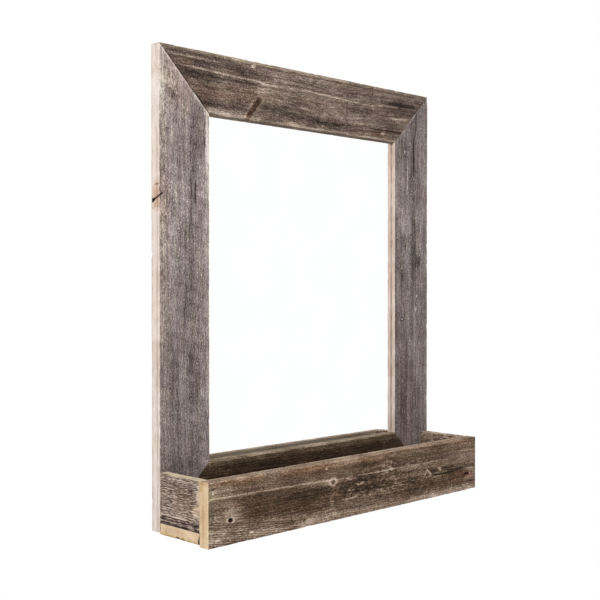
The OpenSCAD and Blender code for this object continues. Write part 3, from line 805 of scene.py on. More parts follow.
stileRightLook = dict(
    plainBoard, ramp=greyRamp, bareRamp=pinkBareRamp, seed=23, pith=(52, 70), ringWidth=2.1, wander=5,
    ridge=0.28, fibre=0.22, pit=0.34, tone=-0.05, streaky=0.13, blotchy=0.14, ringTone=0.05,
    ringLine=0.05, rust=0.04, moss=0.04, speckTone=1.3, bare=dict(outer=0.9, inner=1.0),
    sideTone=dict(back=-0.04, inner=-0.04),
    knots=[branchKnot(176, 68, 0, 2.6, core=0.28, halo=-0.12),
           # the second is an old nail hole: a painted glint of its nail head, ringed by the painted shade of
           # the hole
           branchKnot(284, 69.5, 0, 1.5, stretch=1, core=0.9, halo=-0.85)],
    checks=[dict(ends=((650, 31), (610, 34)), width=1.4, depth=1.6),
            dict(ends=((602, 37.5), (532, 38)), width=2.0, depth=2.6)],
    mitreLines=[dict(end=1, over=(30, 50), half=1.1, tone=0.4),
                dict(end=1, over=(2, 15), half=2, tone=-0.12)],
    streaks=[grainLine(1.1, 0.5, (505, 55.6), (560, 55), broken=0.3),
             # the two dark lines that follow the checks are painted shade in the cracks
             grainLine(1.7, -0.62, (534, 37.9), (600, 37.8), broken=0.1),
             grainLine(1.2, -0.36, (600, 36), (624, 31.5), (648, 31), broken=0.3),
             grainLine(4, -0.2, (530, 43), (580, 41), (650, 35)),
             grainLine(5, -0.1, (40, 42), (530, 40), broken=0.8), grainLine(9, 0.05, (40, 20), (620, 21)),
             grainLine(2.4, -0.14, (200, 86), (470, 86)), grainLine(1.6, -0.2, (330, 34), (460, 35)),
             # the dark line at the back of its inner side is painted shade where the lip meets the glass
             grainLine(0.9, -0.45, (0, 7.9), (677, 7.9), side="inner", broken=0.2)],
    patches=[spot(455, 60, 26, 16, 0.12), spot(150, 50, 150, 50, -0.08), spot(375, 70, 20, 12, -0.16),
             spot(383, 28, 12, 6, -0.22), spot(400, 40, 44, 8, -0.1), spot(324, 30, 3, 2, 0.4, soft=0.2),
             spot(300, 32, 3.6, 2, 0.45, soft=0.2), spot(574, 62, 3.4, 1.7, 0.45, soft=0.3),
             spot(250, 40, 60, 10, 0.07), spot(590, 50, 90, 50, -0.05), spot(505, 27, 84, 8, -0.1),
             spot(342, 79, 26, 6, 0.1)],
    mottled=[spot(420, 45, 220, 44, 0.12)],
    rusty=[spot(120, 60, 90, 20, 0.2), spot(270, 86, 24, 5, 0.5),
           spot(340, 4, 420, 12, 0.16, side="inner")],
    mossy=[spot(400, 38, 60, 8, 0.25)])

railTopLook = dict(
    plainBoard, ramp=brownGreyRamp, seed=37, pith=(58, 46), ringWidth=2.6, wander=7, ridge=0.4, fibre=0.26,
    pit=0.4, tone=0.0, streaky=0.16, blotchy=0.17, ringTone=0.04, ringLine=0.06, rust=0.08, moss=0.08,
    speckTone=1.15, bare=dict(outer=0.7, inner=0.35), sideTone=dict(back=-0.1, outer=0.2),
    mitreLines=[dict(end=0, over=(10, 92), half=1.1, tone=-0.34),
                dict(end=1, over=(4, 34), half=1.2, tone=-0.16)],
    streaks=[grainLine(1.2, 0.44, (20, 24.5), (83, 26), (120, 28), (178, 28.5), (205, 31.5), (233, 30),
                       (297, 29.5), (364, 31.7), (391, 33), (439, 34), (457, 31.7), (481, 29.5), (562, 26.7),
                       broken=0.45),
             grainLine(3.6, -0.2, (40, 34), (190, 34.5), broken=0.3),
             grainLine(1.8, 0.14, (0, 2.6), (590, 2.6)), grainLine(0.9, -0.25, (0, 6.7), (560, 6.7)),
             grainLine(1, 0.28, (20, 11), (83, 11), (110, 12)),
             grainLine(4.5, -0.24, (60, 17), (213, 19), broken=0.3),
             grainLine(0.9, 0.26, (25, 21.7), (58, 21.7)), grainLine(3.5, -0.34, (75, 74), (165, 74)),
             grainLine(6, -0.22, (190, 66), (252, 65), broken=0.7),
             grainLine(4, -0.14, (230, 73), (430, 75), broken=0.9),
             grainLine(3.4, 0.36, (60, 84), (190, 85)), grainLine(1.8, 0.3, (200, 87), (590, 87)),
             grainLine(2.2, 0.4, (490, 51), (535, 47)),
             grainLine(1.3, -0.5, (440, 71.7), (520, 71.7), broken=0.2),
             grainLine(4, -0.26, (480, 37), (560, 34), broken=0.4),
             grainLine(0.9, -0.4, (554, 15), (574, 15)), grainLine(5, -0.07, (240, 52), (470, 56))],
    mottled=[spot(300, 50, 330, 44, 0.13)],
    patches=[spot(278, 72, 60, 8, -0.17, rough=1.3, soft=0.8),
             spot(421, 16, 60, 11, -0.1, rough=1.1, soft=0.8), spot(520, 24, 34, 4.5, -0.36, rough=0.8),
             spot(455, 77, 14, 5, -0.1), spot(174.5, 7.9, 4.5, 2.6, 0.5, soft=0.3),
             spot(99, 11, 2.4, 1.4, 0.3, soft=0.2), spot(469, 77.5, 5, 2, 0.4),
             spot(330, 75, 30, 8, -0.16, rough=1.3, soft=0.8),
             spot(395, 75, 34, 8, -0.16, rough=1.3, soft=0.8), spot(252, 84, 14, 3, 0.25),
             spot(174.3, 71, 21.5, 5.8, 0.2, turn=129.6, bar=True, soft=0.1, rough=0.12),
             spot(174.3, 71, 21, 4.5, -0.54, turn=129.6, bar=True, soft=0.12, rough=0.22),
             spot(40, 50, 60, 30, -0.17), spot(150, 17, 9, 8, -0.14), spot(530, 50, 80, 44, -0.12),
             spot(300, 20, 26, 14, -0.12), spot(345, 10, 50, 8, 0.17, rough=0.6),
             spot(470, 10, 60, 7, 0.07), spot(176, 24, 22, 20, -0.12, rough=0.7),
             spot(415, 43, 26, 12, -0.17), spot(143, 67, 22, 6, -0.12), spot(120, 12, 30, 8, -0.08),
             spot(250, 45, 20, 10, 0.06)],
    rusty=[spot(456, 80, 18, 4, 0.6), spot(478, 71.7, 38, 1.6, 0.5), spot(120, 55, 90, 14, 0.2),
           spot(40, 21, 20, 4, 0.3), spot(252, 84, 16, 4, 0.3),
           spot(174.3, 71, 20, 4.4, 0.8, turn=129.6, bar=True)],
    mossy=[spot(300, 3, 320, 4, 0.3), spot(300, 86, 300, 4, 0.25), spot(215, 64, 40, 9, 0.3)])

# its front inside the box is dark wood darkened further as painted shade, with painted light along its top
# edge
railBottomLook = dict(
    plainBoard, ramp=brownRamp, seed=41, pith=(40, 50), ringWidth=2.4, wander=5, ridge=0.36, fibre=0.26,
    pit=0.34, tone=-0.34, streaky=0.12, blotchy=0.12, ringTone=0.06, rust=0.2, moss=0.2, speckTone=0.9,
    stepAlong=2.4, bare=dict(outer=0.6, inner=0.0), sideTone=dict(back=0.2, inner=0.6, outer=0.2),
    streaks=[grainLine(1.8, 0.58, (0, 87.6), (590, 87.6), broken=0.2),
             grainLine(4.5, 0.26, (0, 82), (590, 82), broken=0.3)],
    mossy=[spot(300, 86, 320, 6, 0.3), spot(300, 3, 320, 9, 0.45, side="inner")])

# Dark grain lines at the lower left of the front board, which run down to the right side by side
lowerLines = [grainLine(0.8, -0.46, (-9, t - 1.3), (30, t + 5), (100, t + 15), (160, t + 22), broken=0.4,
                        waver=0.4, fade=50)
              for t in (53, 56, 58.9, 61.6, 64.9, 68.1, 71.2, 74.3, 77.4, 80.8, 84.2)]
frontLook = dict(
    # the redder colour below is the painted shade in its hollows
    plainBoard, ramp=brownRamp, hollowShadeColour=(40, 22, 16), seed=53, pith=(20, 58), ringWidth=2.2, wander=4,
    slope=-0.014, ridge=0.46, fibre=0.28, pit=0.42, tone=-0.03, streaky=0.15, blotchy=0.13, ringTone=0.06,
    ringLine=0.06, rust=0.07, moss=0.08, speckTone=0.95, fleck=0.08, speckSize=(0.28, 0.8, 0.8),
    dashTone=0.6, dashSize=(0.2, 0.85, 0.85), dashFleck=0.06, fibreTone=0.9, fuzzTone=0.8,
    stepAcross=0.85, stepAlong=2.8, stepDeep=2.2, sideTone=dict(back=0.1, outer=0.3, inner=0.1, end=0.24),
    wear=dict(outer=0.5, inner=0.8, back=0.8),
    roundedCorners=[dict(far=1, low=1, r=5)],
    mottled=[spot(310, 46, 100, 20, 0.36, soft=0.7), spot(370, 18, 80, 12, 0.26, soft=0.7),
             spot(470, 55, 120, 24, 0.2, soft=0.7)],
    streaks=lowerLines + [
            grainLine(0.9, 0.4, (0, 23.3), (100, 24.3), (173, 25.3), (205, 26.5), (240, 28), broken=0.3),
            grainLine(0.9, 0.34, (240, 28), (300, 28), (372, 28.5), (512, 29), broken=0.5),
            grainLine(0.9, 0.3, (296, 28), (372, 28.5)),
            grainLine(1.6, 0.24, (0, 1.3), (590, 1.3), broken=0.6),
            grainLine(1.8, 0.2, (0, 17), (590, 17), side="outer", broken=0.3),
            grainLine(3, -0.1, (0, 9), (590, 9), side="outer", broken=0.9),
            grainLine(1.3, -0.42, (472, 50.5), (505, 51.5), (556, 47.8), broken=0.2),
            grainLine(1.1, 0.4, (262, 59.5), (292, 59.5)), grainLine(1.2, -0.24, (60, 43), (240, 44)),
            grainLine(1.0, -0.26, (120, 36), (230, 38)), grainLine(1.2, -0.26, (250, 50), (330, 51)),
            grainLine(1.2, -0.24, (330, 66), (480, 68)), grainLine(1.4, -0.2, (500, 43), (575, 40)),
            grainLine(1.7, 0.74, (450, 50.5), (459, 40), (469.5, 51), fade=2, waver=0.2, broken=0.4),
            grainLine(1, 0.46, (450, 51), (470, 51.6), fade=2, waver=0.2, broken=0.4),
            grainLine(1, 0.34, (219, 72.4), (226, 70.6), (236, 70.2), (245, 72), fade=5, waver=0.3,
                      broken=0.4)],
    patches=[spot(145, 48, 98, 20, -0.13, turn=2), spot(190, 43, 48, 9, -0.18),
             spot(300, 41, 40, 17, -0.23), spot(420, 55, 90, 20, -0.08),
             spot(70, 74, 130, 13, 0.19, turn=2), spot(300, 83, 330, 6, 0.16),
             spot(170, 5, 230, 6, 0.15, soft=0.9), spot(390, 12, 84, 16, -0.07, soft=0.8),
             spot(14, 42, 26, 40, 0.14), spot(44, 49, 15, 11, 0.16, rough=0.6),
             spot(556, 28, 44, 22, 0.12), spot(426, 43, 30, 7, 0.14, rough=0.7),
             spot(170, 14, 44, 10, -0.09), spot(388, 79, 26, 6, -0.14), spot(226, 74, 34, 10, 0.1),
             spot(110, 81, 50, 5, 0.09), spot(300, 13, 30, 6, -0.08), spot(226, 31, 22, 5, 0.22),
             spot(366, 24.5, 6, 3, 0.34, rough=0.7), spot(234, 60, 4, 7, 0.26, rough=0.6),
             spot(490, 84, 100, 4, 0.12), spot(491.6, 43.3, 4.6, 3.6, 0.36, soft=0.3),
             spot(478, 46, 10, 3, -0.16, rough=0.7), spot(76.5, 77.3, 3.2, 1.4, 0.6, soft=0.3),
             spot(14.6, 78.6, 2.6, 1.4, 0.5, soft=0.3), spot(7.8, 15.4, 1.8, 1.8, 0.5, soft=0.3),
             spot(223.7, 9.6, 2.6, 1.4, 0.6, soft=0.3), spot(276, 31, 10, 2.6, 0.3, rough=0.8),
             spot(296, 40, 11, 2.2, 0.34, rough=0.8), spot(279, 48, 7, 4, 0.3, rough=0.9),
             spot(362, 17, 17, 4, 0.26, rough=0.8), spot(570, 66, 12, 4, 0.2),
             spot(575, 52, 8, 3, 0.2, rough=0.6), spot(38.5, 55.2, 7, 5.4, 0.2, soft=0.3),
             spot(12, 44, 1.8, 60, -0.16, side="start"), spot(2, 44, 2, 60, 0.2, side="start"),
             # the wide pale spot along the top of the back, the box's inside face, is painted light
             spot(9, 2, 12, 3, -0.2, side="start"), spot(295, 0, 400, 18, 0.55, side="back"),
             spot(535, 58, 34, 12, -0.12, rough=0.7)],
    rusty=[spot(50, 5, 44, 4.4, 0.34, rough=0.6), spot(190, 6, 50, 6, 0.32, rough=0.6),
           spot(330, 7, 30, 4, 0.3, rough=0.6), spot(540, 60, 34, 11, 0.4),
           spot(200, 7, 300, 12, 0.26, soft=0.9), spot(295, 9, 400, 20, 0.22, side="outer"),
           spot(560, 4, 26, 5, 0.3, rough=0.6), spot(200, 45, 130, 18, 0.14), spot(471, 66, 20, 8, 0.25),
           spot(95, 34, 70, 8, 0.22), spot(566, 61, 13, 5, 0.7), spot(500, 1, 80, 3, 0.3),
           spot(11, 55, 2, 44, 0.25, side="start")],
    mossy=[spot(32, 8.5, 14, 3, 0.7), spot(300, 14, 280, 7, 0.16),
           spot(16, 4, 5, 11, 0.75, side="start", rough=0.8), spot(200, 9, 260, 9, 0.2, side="outer"),
           spot(120, 38, 90, 12, 0.2), spot(295, 4, 400, 16, 0.5, side="back"),
           spot(3, 40, 7, 44, 0.6, soft=0.8)],
    dents=[spot(567.5, 60.4, 10, 3.6, 1.7, soft=0.5), spot(583, 0, 12, 2.4, 1.0, soft=0.6),
           spot(38.5, 55, 5, 3.6, 0.8, soft=0.5)],
    # the dark spots are painted shade in the wire nail's gouge and in the old nail hole
    dark=[spot(567, 60.4, 9.4, 3.1, 1.0, soft=0.3), spot(38.5, 55, 4.4, 3.2, 1.0, soft=0.25)],
    knots=[branchKnot(237, 30.6, 0, 3.3, stretch=1.5, core=-0.24, halo=0.36)],
    holes=[dict(at=(38.5, 55), wide=4.6, deep=11.9, side="front")])

endLook = dict(
    plainBoard, ramp=brownGreyRamp, bareRamp=strawBareRamp, bare=dict(outer=0.62), seed=67, pith=(150, 40),
    ringWidth=2.7, wander=1.5, ridge=0.7, fibre=0.34, pit=0.6, tone=0.2, streaky=0.2, blotchy=0.1,
    ringTone=0.1, ringLine=0.1, rust=0.12, moss=0.03, stepAcross=0.7, stepAlong=0.9, speckTone=0.7,
    speckSize=(0.2, 0.7, 0.7), fleck=0.1, dashTone=2.4, dashSize=(0.085, 0.95, 0.95), dashFleck=0.42,
    bareEnd=0.9, sideTone=dict(back=-0.15, outer=0.12), wear=dict(outer=0.7, back=0.6),
    ringed=[spot(48, 61, 60, 9, 4.5, rough=0.5)],
    mottled=[spot(48, 59, 60, 8, 0.35)],
    barePatches=[spot(0, 14, 7, 14, 0.5), spot(0, 30, 13, 12, 0.52, rough=0.5),
                 spot(5, 44, 16, 7, 0.54, rough=0.5)],
    streaks=[grainLine(0.8, 0.5, (0, 56.5), (86, 57), broken=0.9),
             grainLine(0.8, 0.6, (0, 60), (86, 60.6), broken=1.0),
             grainLine(0.7, 0.5, (0, 63.4), (86, 64), broken=1.0),
             grainLine(0.9, -0.4, (0, 58.3), (86, 58.8)), grainLine(0.9, -0.4, (0, 62), (86, 62.4))],
    patches=[spot(50, 61, 60, 5, -0.26), spot(40, 56, 12, 1.6, 0.5), spot(75, 55, 9, 1.6, 0.5),
             spot(60, 22, 50, 14, -0.08), spot(62, 3, 34, 3, 0.14)],
    rusty=[spot(30, 35, 30, 20, 0.2)],
    # the dark spots are painted shade: a short one at the front end and a long line low across its face
    dark=[spot(0, 46, 1.4, 8, 0.8, soft=0.3), spot(43, 68.4, 60, 1.3, 0.9, rough=0.9)],
    mossy=[spot(40, 1, 60, 2.4, 0.5), spot(40, 8, 60, 9, 0.4, side="outer")])

endRightLook = dict(
    endLook, ramp=brownRamp, seed=68, tone=0.04, dark=[], barePatches=[], bare={},
    sideTone=dict(back=0.1, outer=0.3))

bottomLook = dict(
    plainBoard, ramp=brownGreyRamp, seed=71, pith=(30, 60), ringWidth=2.4, wander=4, ridge=0.4, fibre=0.26,
    pit=0.34, tone=0.0, streaky=0.14, blotchy=0.14, rust=0.03, moss=0.0, chip=7, chipFrom=0.25,
    speckTone=1.1, sideTone=dict(back=-0.1, end=0.3), wear=dict(outer=0.5, inner=0.5, back=0.7, end=0.9),
    patches=[spot(0, 45, 1.6, 60, -0.4, side="start", rough=0.9),
             spot(9, 60, 4, 30, -0.16, side="start")],
    mossy=[spot(0, 45, 3.4, 60, 1.0, side="start", rough=0.9), spot(5, 78, 4, 8, 0.4, side="start")],
    dents=[spot(0, 46, 1.6, 3.4, 1.4, side="start", soft=0.6), spot(0, 46, 5, 3.4, 1.6, soft=0.6),
           spot(0, 34, 1.4, 2.4, 1.2, side="start", soft=0.6), spot(0, 66, 6, 5, 1.4, soft=0.6)],
    # the dark spots are painted shade in the chips and dents of its end
    dark=[spot(3, 0, 9, 3.2, 1.0, side="start", soft=0.3),
          spot(1.6, 47, 1.9, 2.8, 0.9, side="start", soft=0.5),
          spot(1.6, 36, 1.5, 2.2, 0.6, side="start", soft=0.5)])

# The boards: which corner each is measured from, its ways along, across and inward, its look and its slot
right, back, up = (1, 0, 0), (0, 1, 0), (0, 0, 1)
left, forward, down = (-1, 0, 0), (0, -1, 0), (0, 0, -1)
boardPlan = [
    (Board("stile_left", (-1, -1, -1), up, right, back, mitre=True), stileLeftLook, "stile_wood"),
    (Board("stile_right", (1, -1, -1), up, left, back, mitre=True), stileRightLook, "stile_wood"),
    (Board("rail_top", (-1, -1, 1), right, down, back, mitre=True), railTopLook, "rail_wood"),
    (Board("rail_bottom", (-1, -1, -1), right, up, back, mitre=True), railBottomLook, "rail_wood"),
    (Board("box_front_board", (-1, -1, 1), right, down, back), frontLook, "box_wood"),
    (Board("box_end_left", (-1, -1, 1), back, down, right), endLook, "end_wood"),
    (Board("box_end_right", (1, -1, 1), back, down, left), endRightLook, "end_wood"),
    (Board("box_bottom_board", (-1, -1, -1), right, back, up), bottomLook, "box_wood"),
]

# What is driven into the boards: its node, the side its head lies on, its head's width and its well's depth
screwHeads = ("box_screws", "back", 8, 2.6)
nailHeads = [("front_brads", "front", 2.4, 1.6), ("front_wire_nail", "front", 5, 1.9),
             ("bottom_brads", "front", 2.4, 1.6)]
for board, look, slotName in boardPlan:
    wells = board.wells(*screwHeads) if board.mitre else []
    for heads in nailHeads:
        wells += board.wells(*heads)
    look = dict(look, holes=look["holes"] + wells)
    piece = makeBoard(board, look)
    dress(piece, weatheredWood(board.node + "_finish", look), board.node, "mirror_frame")
    print("board", board.node, len(wells), "wells", 2 * len(piece.data.polygons), "triangles")

# The hardboard is a thin board whose front is its smooth face, seen from behind
hardboardLook = dict(
    plainBoard, seed=81, pith=(0, -900), ringWidth=4000, wander=0, ridge=0, fibre=0.05, pit=0.05,
    stepAcross=4, stepAlong=4, arris=0.35, chip=1.5, streaky=0, blotchy=0, ringTone=0, arrisTone=0, scuff=0,
    wear=dict(back=0.2))
hardboardRamp = [(0.0, (66, 45, 29)), (0.4, (110, 79, 54)), (0.6, (130, 96, 67)), (1.0, (172, 135, 99))]


# Hardboard: felted fibres and curls in all directions, the fine screen print of its press, and faint upright
# scuffs. The print is sin(2 pi x / pitch) * sin(2 pi z / pitch)
def hardboardFinish():
    n = Nodes("hardboard_finish")
    place = n.place()
    pitch = 0.0021
    fibres = n.noise(place, 900, 4, 0.65)
    fleck = n.add("ShaderNodeTexVoronoi", dict(feature="F1"), Vector=place, Scale=520.0).outputs["Distance"]
    curls = n.noise(place, 230, 4, 0.7)
    scuffs = n.noise(place, 110, 2, 0.5, (1, 1, 0.03))
    patch = n.noise(place, 9, 3, 0.6)
    split = n.add("ShaderNodeSeparateXYZ", Vector=place)
    waves = [n.maths("SINE", n.maths("MULTIPLY", split.outputs[k], 2 * math.pi / pitch)) for k in (0, 2)]
    screen = n.maths("MULTIPLY", *waves)
    value = n.maths("ADD", n.mixture(fibres, 0.5, curls, 0.32), n.maths("MULTIPLY", patch, 0.18))
    value = n.maths("ADD", value, n.range(scuffs, 0.62, 0.74, 0.0, 0.07))
    value = n.maths("ADD", value, n.range(fleck, 0.05, 0.35, 0.12, 0.0))
    value = n.maths("ADD", value, n.maths("MULTIPLY", screen, 0.05))
    height = n.maths("ADD", n.maths("MULTIPLY", screen, 0.5), fibres)
    return n.surface(Base_Color=n.ramp(n.range(value, 0.34, 0.72), hardboardRamp),
                     Normal=n.bump(height, 0.35, 0.0004), Roughness=n.range(patch, 0.3, 0.7, 0.5, 0.72),
                     Specular_IOR_Level=0.35)


hardboard = makeBoard(Board("hardboard_back", (-1, 1, -1), up, right, forward), hardboardLook)
dress(hardboard, hardboardFinish(), "hardboard_back", "mirror_frame")

# The silver lies close behind the glass's front, since glass makes it look nearer than it is. It mirrors as
# if it leaned back by some degrees at its top, which is how the reflection in the photograph lies
mirror = dict(silverDepth=0.05, lean=2.4, edgeChamfer=0.4, hidden=2)


# Mirror glass: nested rectangles, each drawn in by its distance from the pane's edge at its own depth
def makePane():
    wide = (paneHigh[0] - paneLow[0]) / 2
    high = (paneHigh[2] - paneLow[2]) / 2
    centre = (paneLow + paneHigh) / 2
    lipOver = frameLow[0] + boardWide - paneLow[0]
    bevel, seen = mirror["edgeChamfer"], lipOver - mirror["hidden"]
    front, rear = paneLow[1], paneHigh[1]
    silver = front + mirror["silverDepth"]
    rings = [(bevel, rear), (0, rear - bevel), (0, front + bevel), (bevel, front), (seen, front),
             (seen, silver)]
    corner = np.array([(-1, -1), (1, -1), (1, 1), (-1, 1)])
    inset, depth = np.array(rings).T
    points = np.zeros((len(rings), 4, 3))
    points[..., 0] = centre[0] + corner[:, 0] * (wide - inset[:, None])
    points[..., 1] = depth[:, None]
    points[..., 2] = centre[2] + corner[:, 1] * (high - inset[:, None])
    numbers = np.arange(len(rings) * 4).reshape(-1, 4)
    sides = gridQuads(np.concatenate([numbers, numbers[:, :1]], 1))[:, ::-1]
    faces = [numbers[:1, ::-1], numbers[-1:], sides]
    return newMesh("mirror_pane_glass", points.reshape(-1, 3), faces, smooth=False)


# Silver: a clean mirror with a very faint bloom, whose normal has the tangent of its lean added upwards
def silverFinish():
    n = Nodes("silver_finish")
    bloom = n.noise(n.place(), 14, 3, 0.6)
    facing = n.add("ShaderNodeNewGeometry").outputs["Normal"]
    lean = (0, 0, math.tan(math.radians(mirror["lean"])))
    leaning = n.add("ShaderNodeVectorMath", dict(operation="ADD"), i0=facing, i1=lean).outputs[0]
    leaning = n.add("ShaderNodeVectorMath", dict(operation="NORMALIZE"), i0=leaning).outputs[0]
    return n.surface(Base_Color=n.ramp(bloom, [(0.3, (253, 254, 254)), (0.7, (255, 255, 255))]),
                     Normal=leaning, Roughness=n.range(bloom, 0.3, 0.7, 0.0, 0.012), Metallic=1)


# Two-tone finish: smooth noise between a dark and a pale colour, at one roughness
def twoToneFinish(name, dark, pale, roughness, scale=60, stretch=(1, 1, 1)):
    n = Nodes(name)
    colour = n.ramp(n.noise(n.place(), scale, 3, 0.6, stretch), [(0.3, dark), (0.7, pale)])
    return n.surface(Base_Color=colour, Roughness=roughness)


# Glass in its thickness is deep green, its rim under the lip has the colour of the wood above it as a painted
# reflection, and the grey paint over the silver has soft streaks along its height
pane = makePane()
edgeGlass = twoToneFinish("glass_edge_finish", (30, 44, 38), (62, 84, 72), 0.12)
dress(pane, edgeGlass, "mirror_pane", "mirror_frame")
for finish in (silverFinish(),
               twoToneFinish("backing_paint_finish", (96, 102, 106), (116, 121, 124), 0.55, 30, (1, 1, 0.05)),
               twoToneFinish("glass_rim_painted_wood_reflection", (150, 124, 104), (186, 164, 146), 0.6)):
    pane.data.materials.append(finish)
# the back, the silver, three rings of edge, and the rim and step under the lip with the painted wood
# reflection
pane.data.polygons.foreach_set("material_index", [2, 1] + [0] * 12 + [3] * 8)
print("mirror and hardboard ready")


# Metal: a mottled plating with fine scratches along one way, duller in patches, specks of rust if it is old,
# and a dark seam where a folded strip's two layers meet
def metalFinish(name, look):
    n = Nodes(name)
    place = n.place()
    rust, metallic = look.get("rust", 0), 1
    mottle = n.noise(place, 260, 4, 0.6)
    scratch = n.noise(place, 1500, 3, 0.6, look.get("scratchWay", (1, 1, 0.08)))
    colour = n.ramp(n.mixture(mottle, 0.6, scratch, 0.4), look["ramp"])
    if rust:
        spots = n.range(n.noise(place, 420, 4, 0.7), 0.62 - 0.2 * rust, 0.72 - 0.2 * rust)
        colour = n.blend(spots, colour, n.ramp(scratch, [(0.3, (74, 44, 28)), (0.7, (132, 84, 52))]))
        metallic = n.range(spots, 0, 1, 1.0, 0.1)
    if "seamAt" in look:
        split = n.add("ShaderNodeSeparateXYZ", Vector=place)
        gap = n.maths("ABSOLUTE", n.maths("SUBTRACT", split.outputs["Y"], look["seamAt"]))
        under = n.maths("LESS_THAN", split.outputs["Z"], look["seamUnder"])
        seam = n.maths("MULTIPLY", n.range(gap, 0.00004, 0.00009, 1.0, 0.0), under)
        colour = n.blend(seam, colour, linear((30, 30, 31)))
    rough = n.range(n.mixture(mottle, 0.5, scratch, 0.5), 0.35, 0.65, *look["rough"])
    return n.surface(Base_Color=colour, Roughness=rough, Normal=n.bump(scratch, 0.12, 0.0001),
                     Metallic=metallic)


# Rubber: matt, nearly black, with pale dust in its pores
def rubberFinish():
    n = Nodes("rubber_finish")
    place = n.place()
    grainy = n.noise(place, 2600, 3, 0.6)
    dust = n.noise(place, 180, 4, 0.65)
    colour = n.ramp(n.mixture(dust, 0.7, grainy, 0.3),
                    [(0.35, (30, 30, 31)), (0.6, (46, 45, 45)), (0.75, (84, 81, 77))])
    return n.surface(Base_Color=colour, Normal=n.bump(grainy, 0.3, 0.0001), Roughness=0.78)


zincRamp = [(0.3, (164, 167, 170)), (0.5, (186, 188, 190)), (0.7, (206, 207, 208))]
yellowZincRamp = [(0.3, (168, 140, 74)), (0.5, (196, 172, 106)), (0.7, (206, 178, 128))]
zincLook = dict(ramp=zincRamp, rough=(0.28, 0.46))
yellowZincLook = dict(ramp=yellowZincRamp, rough=(0.26, 0.42))
nickelLook = dict(ramp=[(0.3, (190, 190, 188)), (0.7, (222, 221, 218))], rough=(0.14, 0.28),
                  scratchWay=(0.3, 1, 1))
steelLook = dict(ramp=[(0.3, (128, 127, 125)), (0.7, (176, 175, 173))], rough=(0.32, 0.5), rust=0.25)
nailLook = dict(ramp=[(0.3, (104, 62, 50)), (0.7, (206, 168, 152))], rough=(0.22, 0.4), rust=0.7)
darkSteelLook = dict(ramp=[(0.3, (66, 60, 56)), (0.7, (112, 104, 98))], rough=(0.4, 0.6), rust=0.7)


# Collects the shells of one piece: their points, and their faces numbered on from those before
class Heap:
    def __init__(self):
        self.points, self.faces, self.count = [], [], 0

    def add(self, points, faces):
        self.points.append(points)
        self.faces += [f + self.count for f in faces]
        self.count += len(points)

    def piece(self, name, finish, node, body, slotName, sharp=35):
        made = newMesh(name, np.concatenate(self.points), self.faces)
        made.data.set_sharp_from_angle(angle=math.radians(sharp))
        dress(made, finish, node, body)


# The ways a turned piece may point: its own two ways across, and the way from its tip to its head
headBack = np.array([up, right, back], float)
headFront = np.array([right, up, forward], float)
headDown = np.array([back, right, down], float)


# Turned piece: a profile of (radius, height) carried round its axis from a tip point to a head point. A
# thread swells the radius by a ridge that climbs one pitch a turn, and a dent sinks the head by a function
# of its place
def turned(profile, tip, ways, around=32, thread=None, dent=None):
    radius, height = np.array(profile, float).T
    angle = np.linspace(0, 2 * math.pi, around, endpoint=False)[None, :]
    r, h = radius[1:-1, None] + 0 * angle, height[1:-1, None] + 0 * angle
    if thread:
        climb = h / thread["pitch"] - angle / (2 * math.pi)
        ridge = np.clip(1 - 1.7 * np.abs(2 * (climb - np.floor(climb)) - 1), 0, 1)
        start, end = thread["from"], thread["to"]
        fade = smoothStep(start, start + 2, h) * (1 - smoothStep(end - 1.5, end, h))
        r = r + thread["high"] * ridge * fade
    points = np.stack([r * np.cos(angle), r * np.sin(angle), h], -1).reshape(-1, 3)
    points = np.concatenate([points, [(0, 0, height[0])], [(0, 0, height[-1])]])
    if dent:
        on = points[:, 2] > height[-1] - 0.03
        points[:, 2] -= on * dent(points[:, 0], points[:, 1])
    rows = len(radius) - 2
    ring = np.arange(rows * around).reshape(rows, around)
    closed = np.concatenate([ring, ring[:, :1]], 1)
    low, high = rows * around, rows * around + 1
    faces = [gridQuads(closed)[:, ::-1],
             np.stack([np.full(around, low), closed[0, 1:], closed[0, :-1]], 1),
             np.stack([np.full(around, high), closed[-1, :-1], closed[-1, 1:]], 1)]
    return tip + points @ ways, faces


# Cross recess: two slots at right angles with steep walls, deepest in the middle
def crossRecess(wide, slot, deep):
    def dent(x, y):
        one = np.minimum(slot / 2 - np.abs(x), wide / 2 - np.abs(y))
        two = np.minimum(slot / 2 - np.abs(y), wide / 2 - np.abs(x))
        inside = np.clip(np.maximum(one, two) / 0.14, 0, 1)
        return inside * deep * (1 - 0.35 * np.hypot(x, y) / (wide / 2))
    return dent


# Nail head: rows of shallow dimples, as the gripping die leaves them
def dimpledHead(pitch, deep):
    def dent(x, y):
        return deep * np.clip(np.sin(x * math.pi / pitch) * np.sin(y * math.pi / pitch), 0, 1)
    return dent


# Screw profile: point, threaded core and plain shank, from the tip up
def screwProfile(look, headStart):
    core, shank = look["wide"] / 2 - look["threadHigh"], look["wide"] / 2 - 0.1
    threadEnd = headStart * look["threaded"]
    point = [(0, 0), (0.12, 0.05), (core * 0.5, look["tip"] * 0.45), (core, look["tip"])]
    rows = np.arange(look["tip"] + 0.3, threadEnd, look["pitch"] / 8)
    end = [(core, threadEnd + 0.2), (shank, threadEnd + 0.8), (shank, headStart)]
    return point + [(core, h) for h in rows] + end


# The flat of a head, in rings towards its middle, close enough together to carry a recess
def headRings(radius, height, count=14):
    return [(radius * (1 - (n / count)), height) for n in range(count)] + [(0, height)]


